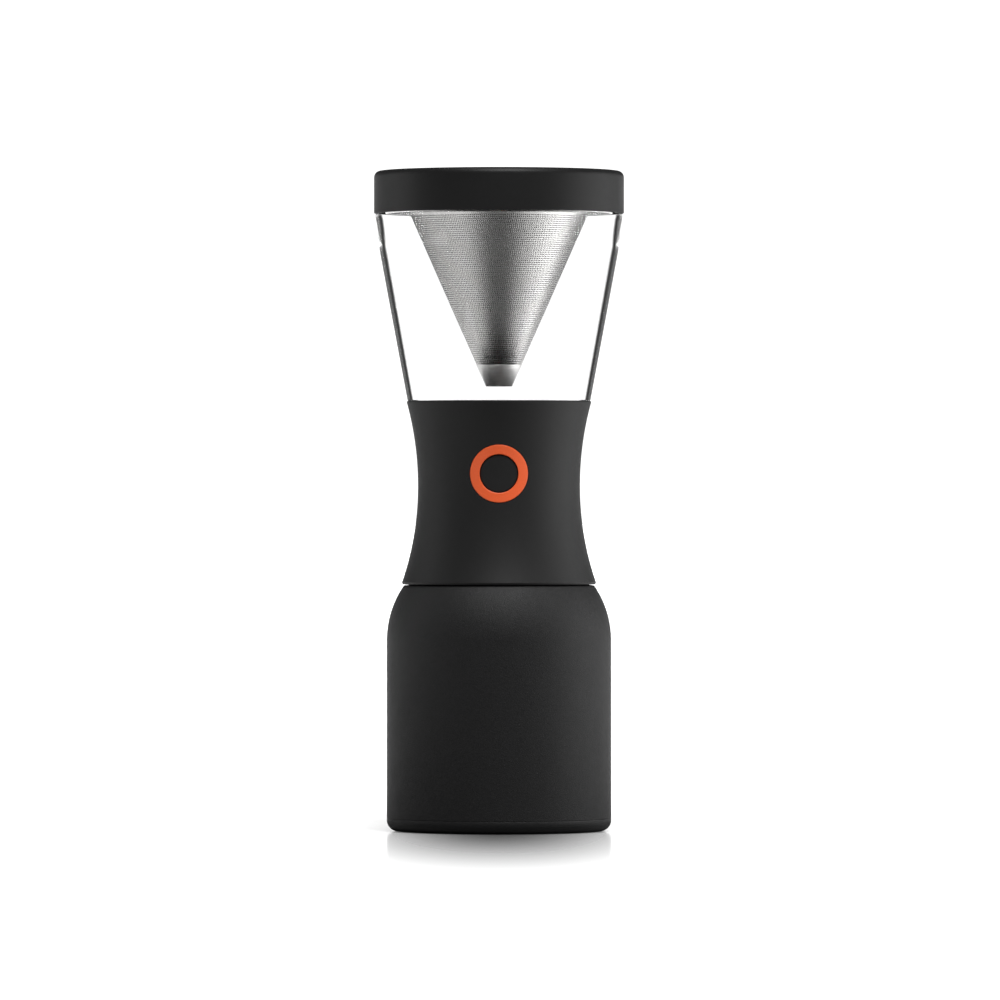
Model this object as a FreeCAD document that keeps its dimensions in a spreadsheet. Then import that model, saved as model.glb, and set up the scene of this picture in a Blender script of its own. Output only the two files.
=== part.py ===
import FreeCAD, Part
import Sketcher
import math
import os

# A cold brew coffee maker. The frame has its origin at the centre of the carafe's
# base, Z up, and the brew button facing -Y. Lengths are in millimetres.

SIZES = {
    # Carafe: a double-walled steel bottle with a domed shoulder
    "carafe_radius": 56.1,
    "carafe_side_height": 95.5,
    "shoulder_curve": 48.0,
    "shoulder_rise": 27.5,
    "ledge_step": 2.0,
    "neck_radius": 32.5,
    "neck_rise": 26.0,
    "steel": 0.8,
    "vacuum_gap": 3.0,
    "neck_gap": 0.5,
    "liner_lift": 8.0,
    "liner_round": 8.0,
    "base_height": 6.5,
    "base_round": 5.5,
    "foot_width": 6.0,
    "base_recess": 2.0,
    "seal_hole_radius": 1.5,
    "seal_bead_radius": 3.0,
    "getter_radius": 6.0,
    "getter_thickness": 1.5,
    # Grip: the hourglass shell between the carafe and the brew chamber
    "seam": 0.3,
    "grip_height": 91.7,
    "grip_overhang": 1.1,
    "grip_waist_radius": 40.5,
    "waist_drop": 42.5,
    "grip_wall": 2.0,
    "grip_edge": 1.0,
    "grip_lip_inset": 0.6,
    "grip_rib_height": 2.0,
    "grip_rib_width": 2.4,
    # Threaded collar that screws the grip onto the carafe's neck
    "thread_room": 1.4,
    "collar_wall": 1.8,
    "collar_flange": 1.6,
    "deck_thickness": 2.5,
    "dome_clearance": 1.5,
    "gasket_thickness": 2.0,
    "gasket_margin": 0.4,
    # Brew chamber: the clear tapered vessel with a funnel floor
    "chamber_foot_radius": 45.73,
    "chamber_wall_foot": 2.63,
    "chamber_bend_height": 76.5,
    "chamber_bend_inset": 2.05,
    "chamber_wall_bend": 3.8,
    "chamber_height": 93.5,
    "chamber_shoulder_radius": 62.1,
    "chamber_outer_curve": 120.0,
    "chamber_inner_curve": 93.0,
    "rim_rise": 13.5,
    "rim_step": 2.6,
    "rim_wall": 2.1,
    "rim_foot_drop": 2.4,
    "floor_sink": 1.0,
    "floor_fall": 7.4,
    "floor_thickness": 2.6,
    "spigot_depth": 7.0,
    "spigot_wall": 2.0,
    "drain_radius": 5.0,
    "seat_radius": 8.0,
    "nozzle_radius": 7.5,
    "nozzle_length": 10.6,
    "boss_radius": 3.4,
    "boss_circle": 18.0,
    # Valve body hung under the chamber, with the button's guides across it
    "flange_thickness": 3.0,
    "flange_radius": 24.0,
    "nozzle_insert": 2.0,
    "washer_thickness": 1.5,
    "duct_shoulder": 2.0,
    "duct_radius": 9.5,
    "duct_wall": 2.0,
    "spout_length": 6.0,
    "lower_flange_thickness": 2.5,
    "lower_flange_radius": 20.5,
    "lower_screw_circle": 16.0,
    "lower_boss_height": 4.0,
    "front_guide_end": 19.0,
    "front_guide_radius": 8.0,
    "rear_guide_end": 18.4,
    "rear_guide_radius": 6.0,
    # Screws
    "screw_radius": 1.25,
    "screw_head_radius": 2.8,
    "screw_head_height": 2.0,
    "screw_bite": 6.0,
    "screw_tip_room": 0.5,
    "screw_hole_radius": 1.6,
    # Button, its ring, and the plunger with the ramp
    "button_drop": 36.4,
    "button_radius": 9.4,
    "button_recess": 0.7,
    "button_face": 1.8,
    "button_wall": 1.2,
    "button_length": 11.0,
    "button_flange": 1.5,
    "button_flange_radius": 10.6,
    "button_travel": 6.0,
    "ring_radius": 14.4,
    "ring_thickness": 0.9,
    "sleeve_wall": 1.6,
    "lug_height": 0.9,
    "lug_width": 6.0,
    "socket_radius": 5.6,
    "socket_length": 6.0,
    "spigot_radius": 3.0,
    "rod_radius": 4.0,
    "rod_reach": 10.0,
    "rod_end_room": 0.5,
    "ramp_start": 1.2,
    "ramp_slope": 2.0 / 3.0,
    "slot_side_room": 0.3,
    "slot_end_room": 0.4,
    "slot_overshoot": 1.0,
    "seal_groove": 2.2,
    "seal_radius": 6.0,
    "bush_thickness": 1.4,
    "spring_radius": 7.1,
    "spring_wire": 0.8,
    # Valve stem and its silicone stopper
    "stem_radius": 2.0,
    "fin_thickness": 1.2,
    "fin_length": 8.0,
    "stopper_thickness": 2.4,
    "stopper_edge": 0.8,
    "stopper_hub_radius": 3.6,
    "stopper_hub_length": 2.0,
    # Filter: perforated cone, solid tip and the pan that hangs on the chamber's rim
    "filter_steel": 0.8,
    "mesh_steel": 0.5,
    "tip_radius": 6.55,
    "tip_height": 10.7,
    "tip_join_radius": 11.27,
    "cone_height": 86.0,
    "cone_top_drop": 0.5,
    "pan_shelf": 12.72,
    "pan_round": 1.6,
    # Lid
    "lid_overhang": 0.4,
    "lid_rise": 7.2,
    "lid_wall": 2.7,
    "lid_top": 2.6,
    "lid_edge": 3.0,
    "plug_depth": 12.0,
    "plug_wall": 1.6,
    "lid_seal_height": 3.0,
    "lid_seal_depth": 1.0,
    # Reach of the drills that open the grip for the button
    "drill_margin": 8.0,
    "drill_depth": 20.0,
    # Fits
    "slide_gap": 0.1,
    "fit_gap": 0.2,
    "seal_gap": 0.25,
    "flat_gap": 0.05,
}

doc = FreeCAD.newDocument("ColdBrewMaker")
sheet = doc.addObject("Spreadsheet::Sheet", "Sizes")
for row, (name, value) in enumerate(SIZES.items(), start=1):
    sheet.set(f"A{row}", name)
    sheet.set(f"B{row}", repr(value))
    sheet.setAlias(f"B{row}", name)
doc.recompute()


class Size:
    """A length worked out from the sheet: its value today and the formula that gives it."""

    def __init__(self, value, formula):
        self.value = float(value)
        self.formula = formula

    def __add__(self, other):
        other = as_size(other)
        return Size(self.value + other.value, f"({self.formula} + {other.formula})")

    def __sub__(self, other):
        other = as_size(other)
        return Size(self.value - other.value, f"({self.formula} - {other.formula})")

    def __mul__(self, other):
        other = as_size(other)
        return Size(self.value * other.value, f"({self.formula} * {other.formula})")

    def __truediv__(self, other):
        other = as_size(other)
        return Size(self.value / other.value, f"({self.formula} / {other.formula})")

    def __neg__(self):
        return Size(-self.value, f"(0 - {self.formula})")


def as_size(item):
    return item if isinstance(item, Size) else Size(item, repr(float(item)))


def root(size):
    return Size(math.sqrt(size.value), f"sqrt({size.formula})")


class Cells:
    """Each cell of the sheet, as a Size, under the name of its alias."""

    def __init__(self):
        for alias in SIZES:
            setattr(self, alias, Size(getattr(sheet, alias), f"Sizes.{alias}"))


cell = Cells()
ZERO = Size(0, "0")


def plane_of(body, role):
    return next(item for item in body.Origin.OriginFeatures if item.Role == role)


def arc_between(start, end, radius, bulge):
    """The short arc of this radius. bulge is +1 to the left of the run, -1 to the right.
    An arc runs anticlockwise, so one that bulges left is drawn from end to start."""
    if bulge > 0:
        start, end = end, start
    half = (end - start) * 0.5
    left = FreeCAD.Vector(-half.y, half.x, 0).normalize()
    depth = math.sqrt(max(radius * radius - half.dot(half), 0.0))
    centre = start + half + left * depth
    first, last = start - centre, end - centre
    circle = Part.Circle(centre, FreeCAD.Vector(0, 0, 1), radius)
    return Part.ArcOfCircle(circle, math.atan2(first.y, first.x), math.atan2(last.y, last.x))


def draw(sketch, points):
    """Draws a closed, fully constrained outline. points are (across, up), or
    (across, up, arc, bulge) where the run that ends there is an arc."""
    corners = [FreeCAD.Vector(as_size(p[0]).value, as_size(p[1]).value, 0) for p in points]
    run_ends = []
    for i, point in enumerate(points):
        backwards = len(point) == 4 and point[3] > 0
        if len(point) == 4:
            radius = as_size(point[2]).value
            sketch.addGeometry(arc_between(corners[i - 1], corners[i], radius, point[3]))
        else:
            sketch.addGeometry(Part.LineSegment(corners[i - 1], corners[i]))
        run_ends.append((1, 2) if backwards else (2, 1))
    for i in range(len(points)):
        after = (i + 1) % len(points)
        sketch.addConstraint(
            Sketcher.Constraint("Coincident", i, run_ends[i][0], after, run_ends[after][1]))
    for i, point in enumerate(points):
        corner = run_ends[i][0]
        for kind, size in (("DistanceX", as_size(point[0])), ("DistanceY", as_size(point[1]))):
            if size.formula == "0":
                axis = -2 if kind == "DistanceX" else -1
                sketch.addConstraint(Sketcher.Constraint("PointOnObject", i, corner, axis))
                continue
            rule = Sketcher.Constraint(kind, -1, 1, i, corner, size.value)
            sketch.setExpression(f"Constraints[{sketch.addConstraint(rule)}]", size.formula)
        if len(point) == 4:
            rule = Sketcher.Constraint("Radius", i, as_size(point[2]).value)
            index = sketch.addConstraint(rule)
            sketch.setExpression(f"Constraints[{index}]", as_size(point[2]).formula)


def turned(name, points):
    """A body turned about Z from its outline, whose points are radius and height."""
    body = doc.addObject("PartDesign::Body", name)
    sketch = body.newObject("Sketcher::SketchObject", name + "_profile")
    sketch.AttachmentSupport = [(plane_of(body, "XZ_Plane"), "")]
    sketch.MapMode = "FlatFace"
    draw(sketch, points)
    revolution = body.newObject("PartDesign::Revolution", name + "_turn")
    revolution.Profile = sketch
    revolution.ReferenceAxis = (sketch, ["V_Axis"])
    revolution.Angle = 360
    return body


def slab(name, points, half_width):
    """A slab across X, centred on X = 0, from its outline in Y and Z."""
    sketch = doc.addObject("Sketcher::SketchObject", name + "_profile")
    sketch.Placement.Rotation = FreeCAD.Rotation(FreeCAD.Vector(1, 1, 1), 120)
    draw(sketch, points)
    solid = doc.addObject("Part::Extrusion", name)
    solid.Base = sketch
    solid.Dir = (1, 0, 0)
    solid.Solid = True
    solid.setExpression("LengthFwd", as_size(half_width).formula)
    solid.setExpression("LengthRev", as_size(half_width).formula)
    return solid


def place(item, x=ZERO, y=ZERO, z=ZERO):
    for letter, size in (("x", x), ("y", y), ("z", z)):
        item.setExpression(f"Placement.Base.{letter}", as_size(size).formula)


def rod_z(name, radius, low, high, x=ZERO, y=ZERO):
    """A round bar along Z from height low to height high."""
    bar = doc.addObject("Part::Cylinder", name)
    bar.setExpression("Radius", as_size(radius).formula)
    bar.setExpression("Height", (as_size(high) - low).formula)
    place(bar, x, y, low)
    return bar


def rod_y(name, radius, front, back, z):
    """A round bar along Y from front to back at height z."""
    bar = doc.addObject("Part::Cylinder", name)
    bar.setExpression("Radius", as_size(radius).formula)
    bar.setExpression("Height", (as_size(back) - front).formula)
    bar.Placement.Rotation = FreeCAD.Rotation(FreeCAD.Vector(1, 0, 0), -90)
    place(bar, ZERO, front, z)
    return bar


def block(name, low, high):
    """A box between two corners."""
    box = doc.addObject("Part::Box", name)
    for side, start, end in zip(("Length", "Width", "Height"), low, high):
        box.setExpression(side, (as_size(end) - start).formula)
    place(box, *low)
    return box


def around(circle, angle):
    """The x and y of a hole on a circle of holes, at an angle in degrees."""
    turn = math.radians(angle)
    across = Size(math.cos(turn), f"cos({angle} deg)")
    along = Size(math.sin(turn), f"sin({angle} deg)")
    return circle * across, circle * along


def cut(name, base, tools):
    tool = tools[0] if len(tools) == 1 else fuse(name + "_tools", tools)
    result = doc.addObject("Part::Cut", name)
    result.Base = base
    result.Tool = tool
    return result


def fuse(name, items):
    result = doc.addObject("Part::MultiFuse", name)
    result.Shapes = items
    return result


def common(name, items):
    result = doc.addObject("Part::MultiCommon", name)
    result.Shapes = items
    return result


subparts = []


def subpart(label, item):
    """Takes a finished object as a sub-part and names it."""
    item.Label = label
    subparts.append(item)
    return item


def tube_y(name, outer, inner, front, back, z):
    """A plain sleeve along Y."""
    return cut(name, rod_y(name + "_outside", outer, front, back, z),
               [rod_y(name + "_inside", inner, front, back, z)])


# Heights that the pieces share, from the table upwards
ledge_z = cell.carafe_side_height + cell.shoulder_rise
lip_z = ledge_z + cell.neck_rise
deck_low = lip_z + cell.gasket_thickness
deck_top = deck_low + cell.deck_thickness
grip_low = ledge_z + cell.seam
grip_top = grip_low + cell.grip_height
waist_z = grip_top - cell.waist_drop
button_z = grip_top - cell.button_drop
floor_edge_z = grip_top - cell.floor_sink
seat_z = floor_edge_z - cell.floor_fall
shoulder_z = grip_top + cell.chamber_height
rim_z = shoulder_z + cell.rim_rise
lip_top_z = rim_z + cell.filter_steel
lid_low = shoulder_z + cell.seam
lid_top_z = lip_top_z + cell.lid_rise


# The carafe's shoulder is one arc, centred above the straight side's end
shoulder_centre = cell.carafe_radius - cell.shoulder_curve


def shoulder_radius(curve, z):
    """Radius of the shoulder arc of this curve at height z."""
    climb = as_size(z) - cell.carafe_side_height
    return shoulder_centre + root(curve * curve - climb * climb)


def shoulder_height(curve, radius):
    """Height of the shoulder arc of this curve at this radius."""
    reach = as_size(radius) - shoulder_centre
    return cell.carafe_side_height + root(curve * curve - reach * reach)


dome_curve = cell.shoulder_curve - cell.ledge_step
ledge_radius = shoulder_radius(cell.shoulder_curve, ledge_z)


def carafe_shell():
    """Outer steel skin: straight side, domed shoulder with the grip's ledge, and the neck."""
    wall = cell.steel
    outer = cell.shoulder_curve
    inner_ledge = ledge_z - wall
    neck_inside = cell.neck_radius - wall
    return turned("CarafeShell", [
        (cell.carafe_radius, cell.base_height),
        (cell.carafe_radius, cell.carafe_side_height),
        (ledge_radius, ledge_z, outer, -1),
        (shoulder_radius(dome_curve, ledge_z), ledge_z),
        (cell.neck_radius, shoulder_height(dome_curve, cell.neck_radius), dome_curve, -1),
        (cell.neck_radius, lip_z - wall),
        (neck_inside, lip_z - wall),
        (neck_inside, shoulder_height(dome_curve - wall, neck_inside)),
        (shoulder_radius(dome_curve - wall, inner_ledge), inner_ledge, dome_curve - wall, 1),
        (shoulder_radius(outer - wall, inner_ledge), inner_ledge),
        (cell.carafe_radius - wall, cell.carafe_side_height, outer - wall, 1),
        (cell.carafe_radius - wall, cell.base_height),
    ])


liner_outside = cell.carafe_radius - cell.steel - cell.vacuum_gap
liner_inside = liner_outside - cell.steel
liner_curve = liner_outside - shoulder_centre
liner_neck_outside = cell.neck_radius - cell.steel - cell.neck_gap
liner_neck_inside = liner_neck_outside - cell.steel


def carafe_liner():
    """Inner steel vessel that holds the coffee. Its lip folds over the outer skin's."""
    wall = cell.steel
    low = cell.liner_lift
    outer_round = cell.liner_round + wall
    return turned("CarafeLiner", [
        (ZERO, low),
        (liner_outside - outer_round, low),
        (liner_outside, low + outer_round, outer_round, -1),
        (liner_outside, cell.carafe_side_height),
        (liner_neck_outside, shoulder_height(liner_curve, liner_neck_outside), liner_curve, -1),
        (liner_neck_outside, lip_z - wall),
        (cell.neck_radius, lip_z - wall),
        (cell.neck_radius, lip_z),
        (liner_neck_inside, lip_z),
        (liner_neck_inside, shoulder_height(liner_curve - wall, liner_neck_inside)),
        (liner_inside, cell.carafe_side_height, liner_curve - wall, 1),
        (liner_inside, low + outer_round),
        (liner_inside - cell.liner_round, low + wall, cell.liner_round, 1),
        (ZERO, low + wall),
    ])


def carafe_base():
    """Steel pan welded to the outer skin, with a foot ring round a raised middle."""
    wall = cell.steel
    outside = cell.carafe_radius
    ring_outer = outside - cell.base_round
    ring_inner = ring_outer - cell.foot_width
    raised = ring_inner - cell.base_recess
    return turned("CarafeBase", [
        (cell.seal_hole_radius, cell.base_recess),
        (raised, cell.base_recess),
        (ring_inner, ZERO),
        (ring_outer, ZERO),
        (outside, cell.base_round, cell.base_round, -1),
        (outside, cell.base_height),
        (outside - wall, cell.base_height),
        (outside - wall, cell.base_round),
        (ring_outer, wall, cell.base_round - wall, 1),
        (ring_inner, wall),
        (raised, cell.base_recess + wall),
        (cell.seal_hole_radius, cell.base_recess + wall),
    ])


def vacuum_seal():
    """Brazed bead that closes the pumping hole in the base."""
    top = cell.base_recess + cell.steel
    return turned("VacuumSeal", [
        (ZERO, cell.base_recess - cell.steel),
        (cell.seal_bead_radius - cell.steel, cell.base_recess - cell.steel),
        (cell.seal_bead_radius, cell.base_recess),
        (cell.seal_hole_radius, cell.base_recess),
        (cell.seal_hole_radius, top),
        (ZERO, top),
    ])


def getter():
    """Pellet tray that keeps the vacuum, held to the liner's underside."""
    return rod_z("Getter", cell.getter_radius, cell.liner_lift - cell.getter_thickness,
                 cell.liner_lift)


subpart("carafe_shell", carafe_shell())
subpart("carafe_liner", carafe_liner())
subpart("carafe_base", carafe_base())
subpart("vacuum_seal", vacuum_seal())
subpart("getter", getter())

# The collar's skirt clears the neck's thread and stops just above the dome
skirt_inside = cell.neck_radius + cell.thread_room
skirt_outside = skirt_inside + cell.collar_wall
skirt_low = shoulder_height(dome_curve, skirt_inside) + cell.dome_clearance
flange_top = skirt_low + cell.collar_flange
duct_outside = cell.duct_radius + cell.duct_wall
lower_screw_angles = (30, 150, 270)
chamber_screw_angles = (45, 135, 225, 315)

# The grip's outline: two arcs that meet upright at the waist
grip_low_radius = ledge_radius + cell.grip_overhang
grip_low_edge = grip_low + cell.grip_edge
grip_top_radius = cell.chamber_foot_radius + cell.seam
grip_top_edge = grip_top - cell.grip_edge


def waist_curve(height, flare):
    """Radius of an arc that leaves the waist upright and gains flare over height."""
    return (height * height + flare * flare) / (flare * 2)


lower_curve = waist_curve(waist_z - grip_low_edge, grip_low_radius - cell.grip_waist_radius)
upper_curve = waist_curve(grip_top_edge - waist_z, grip_top_radius - cell.grip_waist_radius)


def grip_radius(curve, z, inset):
    """Radius of the grip's outline at height z, set in by inset."""
    away = as_size(z) - waist_z
    offset_curve = curve + inset
    return cell.grip_waist_radius + curve - root(offset_curve * offset_curve - away * away)


def grip_core(name, inset):
    """A solid inside the grip's outline, set in by the same amount all over."""
    return turned(name, [
        (ZERO, grip_low_edge),
        (grip_radius(lower_curve, grip_low_edge, inset), grip_low_edge),
        (cell.grip_waist_radius - inset, waist_z, lower_curve + inset, 1),
        (grip_radius(upper_curve, grip_top_edge, inset), grip_top_edge, upper_curve + inset, 1),
        (ZERO, grip_top_edge),
    ])


button_y = -grip_radius(upper_curve, button_z, ZERO)
drill_front = button_y - cell.drill_margin
drill_back = button_y + cell.drill_depth
outline_core = grip_core("GripOutline", ZERO)
seat_core = grip_core("RingSeat", cell.ring_thickness)
face_core = grip_core("ButtonFace", cell.button_recess)
inner_core = grip_core("GripInside", cell.grip_wall + cell.flat_gap)

sleeve_inside = cell.button_radius + cell.fit_gap
sleeve_outside = sleeve_inside + cell.sleeve_wall
sleeve_back = button_y + cell.button_length
rib_low = flange_top
rib_top = rib_low + cell.grip_rib_height
flange_radius = grip_radius(lower_curve, flange_top, cell.grip_wall) - cell.fit_gap


def grip_shell():
    """Hourglass shell, with the collar's rib inside and the hole and seat of the button."""
    wall = cell.grip_wall
    rib_radius = flange_radius - cell.grip_rib_width
    shell = turned("GripWall", [
        (grip_low_radius - cell.grip_edge, grip_low),
        (grip_low_radius, grip_low_edge, cell.grip_edge, -1),
        (cell.grip_waist_radius, waist_z, lower_curve, 1),
        (grip_top_radius, grip_top_edge, upper_curve, 1),
        (grip_top_radius - cell.grip_lip_inset, grip_top, cell.grip_edge, -1),
        (grip_radius(upper_curve, grip_top, wall), grip_top),
        (cell.grip_waist_radius - wall, waist_z, upper_curve + wall, -1),
        (grip_radius(lower_curve, rib_top, wall), rib_top, lower_curve + wall, -1),
        (rib_radius, rib_top),
        (rib_radius, rib_low),
        (grip_radius(lower_curve, rib_low, wall), rib_low),
        (grip_radius(lower_curve, grip_low, wall), grip_low, lower_curve + wall, -1),
    ])
    seat_plug = rod_y("RingSeatPlug", cell.ring_radius + cell.flat_gap, drill_front,
                      drill_back, button_z)
    seat = cut("RingSeatCut", seat_plug, [seat_core])
    hole = rod_y("SleeveHole", sleeve_outside + cell.slide_gap, drill_front, drill_back,
                 button_z)
    return cut("GripShell", shell, [seat, hole])


subpart("grip_shell", grip_shell())


def threaded_collar():
    """Inverted cup that screws onto the neck. Its flange pulls up against the grip's rib."""
    cup = turned("CollarCup", [
        (skirt_inside, skirt_low),
        (flange_radius, skirt_low),
        (flange_radius, flange_top),
        (skirt_outside, flange_top),
        (skirt_outside, deck_top),
        (duct_outside + cell.fit_gap, deck_top),
        (duct_outside + cell.fit_gap, deck_low),
        (skirt_inside, deck_low),
    ])
    holes = []
    for angle in lower_screw_angles:
        x, y = around(cell.lower_screw_circle, angle)
        holes.append(rod_z(f"DeckHole{angle}", cell.screw_hole_radius, deck_low, deck_top, x, y))
    return cut("ThreadedCollar", cup, holes)


def neck_gasket():
    """Silicone ring between the carafe's lip and the collar's deck."""
    inner = liner_neck_inside + cell.gasket_margin
    outer = skirt_inside - cell.gasket_margin
    return turned("NeckGasket", [
        (inner, lip_z),
        (outer, lip_z),
        (outer, deck_low),
        (inner, deck_low),
    ])


subpart("threaded_collar", threaded_collar())
subpart("neck_gasket", neck_gasket())

# The brew chamber's upper outline is set in from its shoulder
bend_radius = cell.chamber_shoulder_radius - cell.chamber_bend_inset
rim_radius = cell.chamber_shoulder_radius - cell.rim_step
rim_inside = rim_radius - cell.rim_wall

# The funnel floor of the brew chamber and the nozzle under its drain
chamber_inside_foot = cell.chamber_foot_radius - cell.chamber_wall_foot
floor_low = seat_z - cell.floor_thickness
nozzle_low = seat_z - cell.nozzle_length
body_top = nozzle_low + cell.nozzle_insert
fall_per_mm = cell.floor_fall / (chamber_inside_foot - cell.seat_radius)


def floor_underside(radius):
    return floor_low + (as_size(radius) - cell.seat_radius) * fall_per_mm


def brew_chamber():
    """Clear moulded vessel: tapered wall, stepped rim, funnel floor, nozzle and bosses."""
    spigot_low = grip_top - cell.spigot_depth
    spigot_top_radius = grip_radius(upper_curve, grip_top, cell.grip_wall) - cell.fit_gap
    spigot_low_radius = grip_radius(upper_curve, spigot_low, cell.grip_wall) - cell.fit_gap
    spigot_inside = spigot_low_radius - cell.spigot_wall
    bend_z = grip_top + cell.chamber_bend_height
    vessel = turned("ChamberVessel", [
        (cell.drain_radius, seat_z),
        (cell.drain_radius, nozzle_low),
        (cell.nozzle_radius, nozzle_low),
        (cell.nozzle_radius, floor_underside(cell.nozzle_radius)),
        (spigot_inside, floor_underside(spigot_inside)),
        (spigot_inside, spigot_low),
        (spigot_low_radius, spigot_low),
        (spigot_top_radius, grip_top),
        (cell.chamber_foot_radius, grip_top),
        (bend_radius, bend_z),
        (cell.chamber_shoulder_radius, shoulder_z, cell.chamber_outer_curve, 1),
        (rim_radius, shoulder_z),
        (rim_radius, rim_z),
        (rim_inside, rim_z),
        (rim_inside, shoulder_z - cell.rim_foot_drop),
        (bend_radius - cell.chamber_wall_bend, bend_z, cell.chamber_inner_curve, -1),
        (chamber_inside_foot, floor_edge_z),
        (cell.seat_radius, seat_z),
    ])
    bosses = []
    pilots = []
    for angle in chamber_screw_angles:
        x, y = around(cell.boss_circle, angle)
        top = floor_underside(cell.boss_circle) + cell.floor_thickness / 2
        bosses.append(rod_z(f"Boss{angle}", cell.boss_radius, body_top, top, x, y))
        pilots.append(rod_z(f"Pilot{angle}", cell.screw_radius, body_top,
                            body_top + cell.screw_bite, x, y))
    return cut("BrewChamber", fuse("ChamberWithBosses", [vessel] + bosses), pilots)


subpart("brew_chamber", brew_chamber())

# The duct under the chamber, with the plunger's guides across it
flange_low = body_top - cell.flange_thickness
washer_low = nozzle_low - cell.washer_thickness
duct_top = washer_low - cell.duct_shoulder
spout_low = deck_low - cell.spout_length
front_guide_y = -cell.front_guide_end
gland_back_y = front_guide_y + cell.bush_thickness + cell.seal_groove


def valve_body():
    """Duct that leads the coffee down through the collar, hung under the chamber's floor."""
    duct = turned("Duct", [
        (cell.duct_radius, spout_low),
        (duct_outside, spout_low),
        (duct_outside, deck_top),
        (cell.lower_flange_radius, deck_top),
        (cell.lower_flange_radius, deck_top + cell.lower_flange_thickness),
        (duct_outside, deck_top + cell.lower_flange_thickness),
        (duct_outside, flange_low),
        (cell.flange_radius, flange_low),
        (cell.flange_radius, body_top),
        (cell.nozzle_radius + cell.fit_gap, body_top),
        (cell.nozzle_radius + cell.fit_gap, washer_low),
        (cell.drain_radius, washer_low),
        (cell.drain_radius, duct_top),
        (cell.duct_radius, duct_top),
    ])
    front = rod_y("FrontGuide", cell.front_guide_radius, front_guide_y,
                  -cell.duct_radius, button_z)
    back = rod_y("RearGuide", cell.rear_guide_radius, cell.duct_radius,
                 cell.rear_guide_end, button_z)
    bores = [rod_z("DuctBore", cell.duct_radius, spout_low, duct_top)]
    bores.append(rod_y("RodBore", cell.rod_radius + cell.slide_gap, front_guide_y,
                       cell.rod_reach + cell.button_travel + cell.rod_end_room, button_z))
    bores.append(rod_y("GlandBore", cell.seal_radius, front_guide_y, gland_back_y, button_z))
    bosses = []
    for angle in lower_screw_angles:
        x, y = around(cell.lower_screw_circle, angle)
        boss_top = deck_top + cell.lower_flange_thickness + cell.lower_boss_height
        bosses.append(rod_z(f"LowerBoss{angle}", cell.boss_radius, deck_top, boss_top, x, y))
        bores.append(rod_z(f"LowerPilot{angle}", cell.screw_radius, deck_top,
                           deck_top + cell.screw_bite, x, y))
    for angle in chamber_screw_angles:
        x, y = around(cell.boss_circle, angle)
        bores.append(rod_z(f"FlangeHole{angle}", cell.screw_hole_radius, flange_low,
                           body_top, x, y))
    solid = fuse("ValveBodySolid", [duct, front, back] + bosses)
    return cut("ValveBody", solid, bores)


def drain_washer():
    """Silicone washer that seals the nozzle's end in the valve body."""
    return turned("DrainWasher", [
        (cell.drain_radius, washer_low),
        (cell.nozzle_radius, washer_low),
        (cell.nozzle_radius, nozzle_low),
        (cell.drain_radius, nozzle_low),
    ])


def screws(name, circle, angles, seat, tip):
    """Pan-head screws driven upwards: heads under seat, shanks up to tip."""
    pieces = []
    for angle in angles:
        x, y = around(circle, angle)
        head = rod_z(f"{name}Head{angle}", cell.screw_head_radius,
                     seat - cell.screw_head_height, seat, x, y)
        shank = rod_z(f"{name}Shank{angle}", cell.screw_radius, seat, tip, x, y)
        pieces.append(fuse(f"{name}{angle}", [head, shank]))
    return fuse(name, pieces)


screw_tip = cell.screw_bite - cell.screw_tip_room
subpart("valve_body", valve_body())
subpart("drain_washer", drain_washer())
subpart("chamber_screws", screws("ChamberScrew", cell.boss_circle, chamber_screw_angles,
                                 flange_low, body_top + screw_tip))
subpart("collar_screws", screws("CollarScrew", cell.lower_screw_circle, lower_screw_angles,
                                deck_low, deck_top + screw_tip))


def button_ring():
    """Coloured ring that follows the grip's outline, with its sleeve and two snap lugs."""
    flange = cut("RingFlange", common("RingSkin", [
        rod_y("RingDisc", cell.ring_radius, drill_front, drill_back, button_z),
        outline_core]), [seat_core])
    sleeve = common("RingSleeve", [
        rod_y("SleeveBar", sleeve_outside, drill_front, sleeve_back, button_z),
        outline_core])
    lug_reach = sleeve_outside + cell.lug_height
    lug_bar = rod_y("LugBar", lug_reach, drill_front, sleeve_back, button_z)
    half = cell.lug_width / 2
    lug_band = block("LugBand", (-half, button_y, button_z - lug_reach),
                     (half, sleeve_back, button_z + lug_reach))
    lugs = common("RingLugs", [lug_bar, lug_band, inner_core])
    solid = fuse("RingSolid", [flange, sleeve, lugs])
    bore = rod_y("SleeveBore", sleeve_inside, drill_front, sleeve_back, button_z)
    return cut("ButtonRing", solid, [bore])


def button_cap():
    """Moulded cap: a cup with a curved face, a rear stop flange and a socket for the rod."""
    back = sleeve_back + cell.button_flange
    front_inside = button_y + cell.button_recess + cell.button_face
    body = common("CapSkin", [
        rod_y("CapBar", cell.button_radius, drill_front, back, button_z), face_core])
    flange = rod_y("CapFlange", cell.button_flange_radius, sleeve_back, back, button_z)
    hollow = rod_y("CapHollow", cell.button_radius - cell.button_wall, front_inside, back,
                   button_z)
    cup = cut("CapCup", fuse("CapSolid", [body, flange]), [hollow])
    socket = rod_y("CapSocket", cell.socket_radius, front_inside,
                   front_inside + cell.socket_length, button_z)
    spigot_hole = rod_y("CapSpigotHole", cell.spigot_radius, front_inside,
                        front_inside + cell.socket_length, button_z)
    return cut("ButtonCap", fuse("CapWithSocket", [cup, socket]), [spigot_hole])


rod_front = button_y + cell.button_recess + cell.button_face
spring_turns = 6


def ramp_height(y):
    """Height of the ramp's face at y, with the button out."""
    return button_z - cell.ramp_start - as_size(y) * cell.ramp_slope


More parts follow.
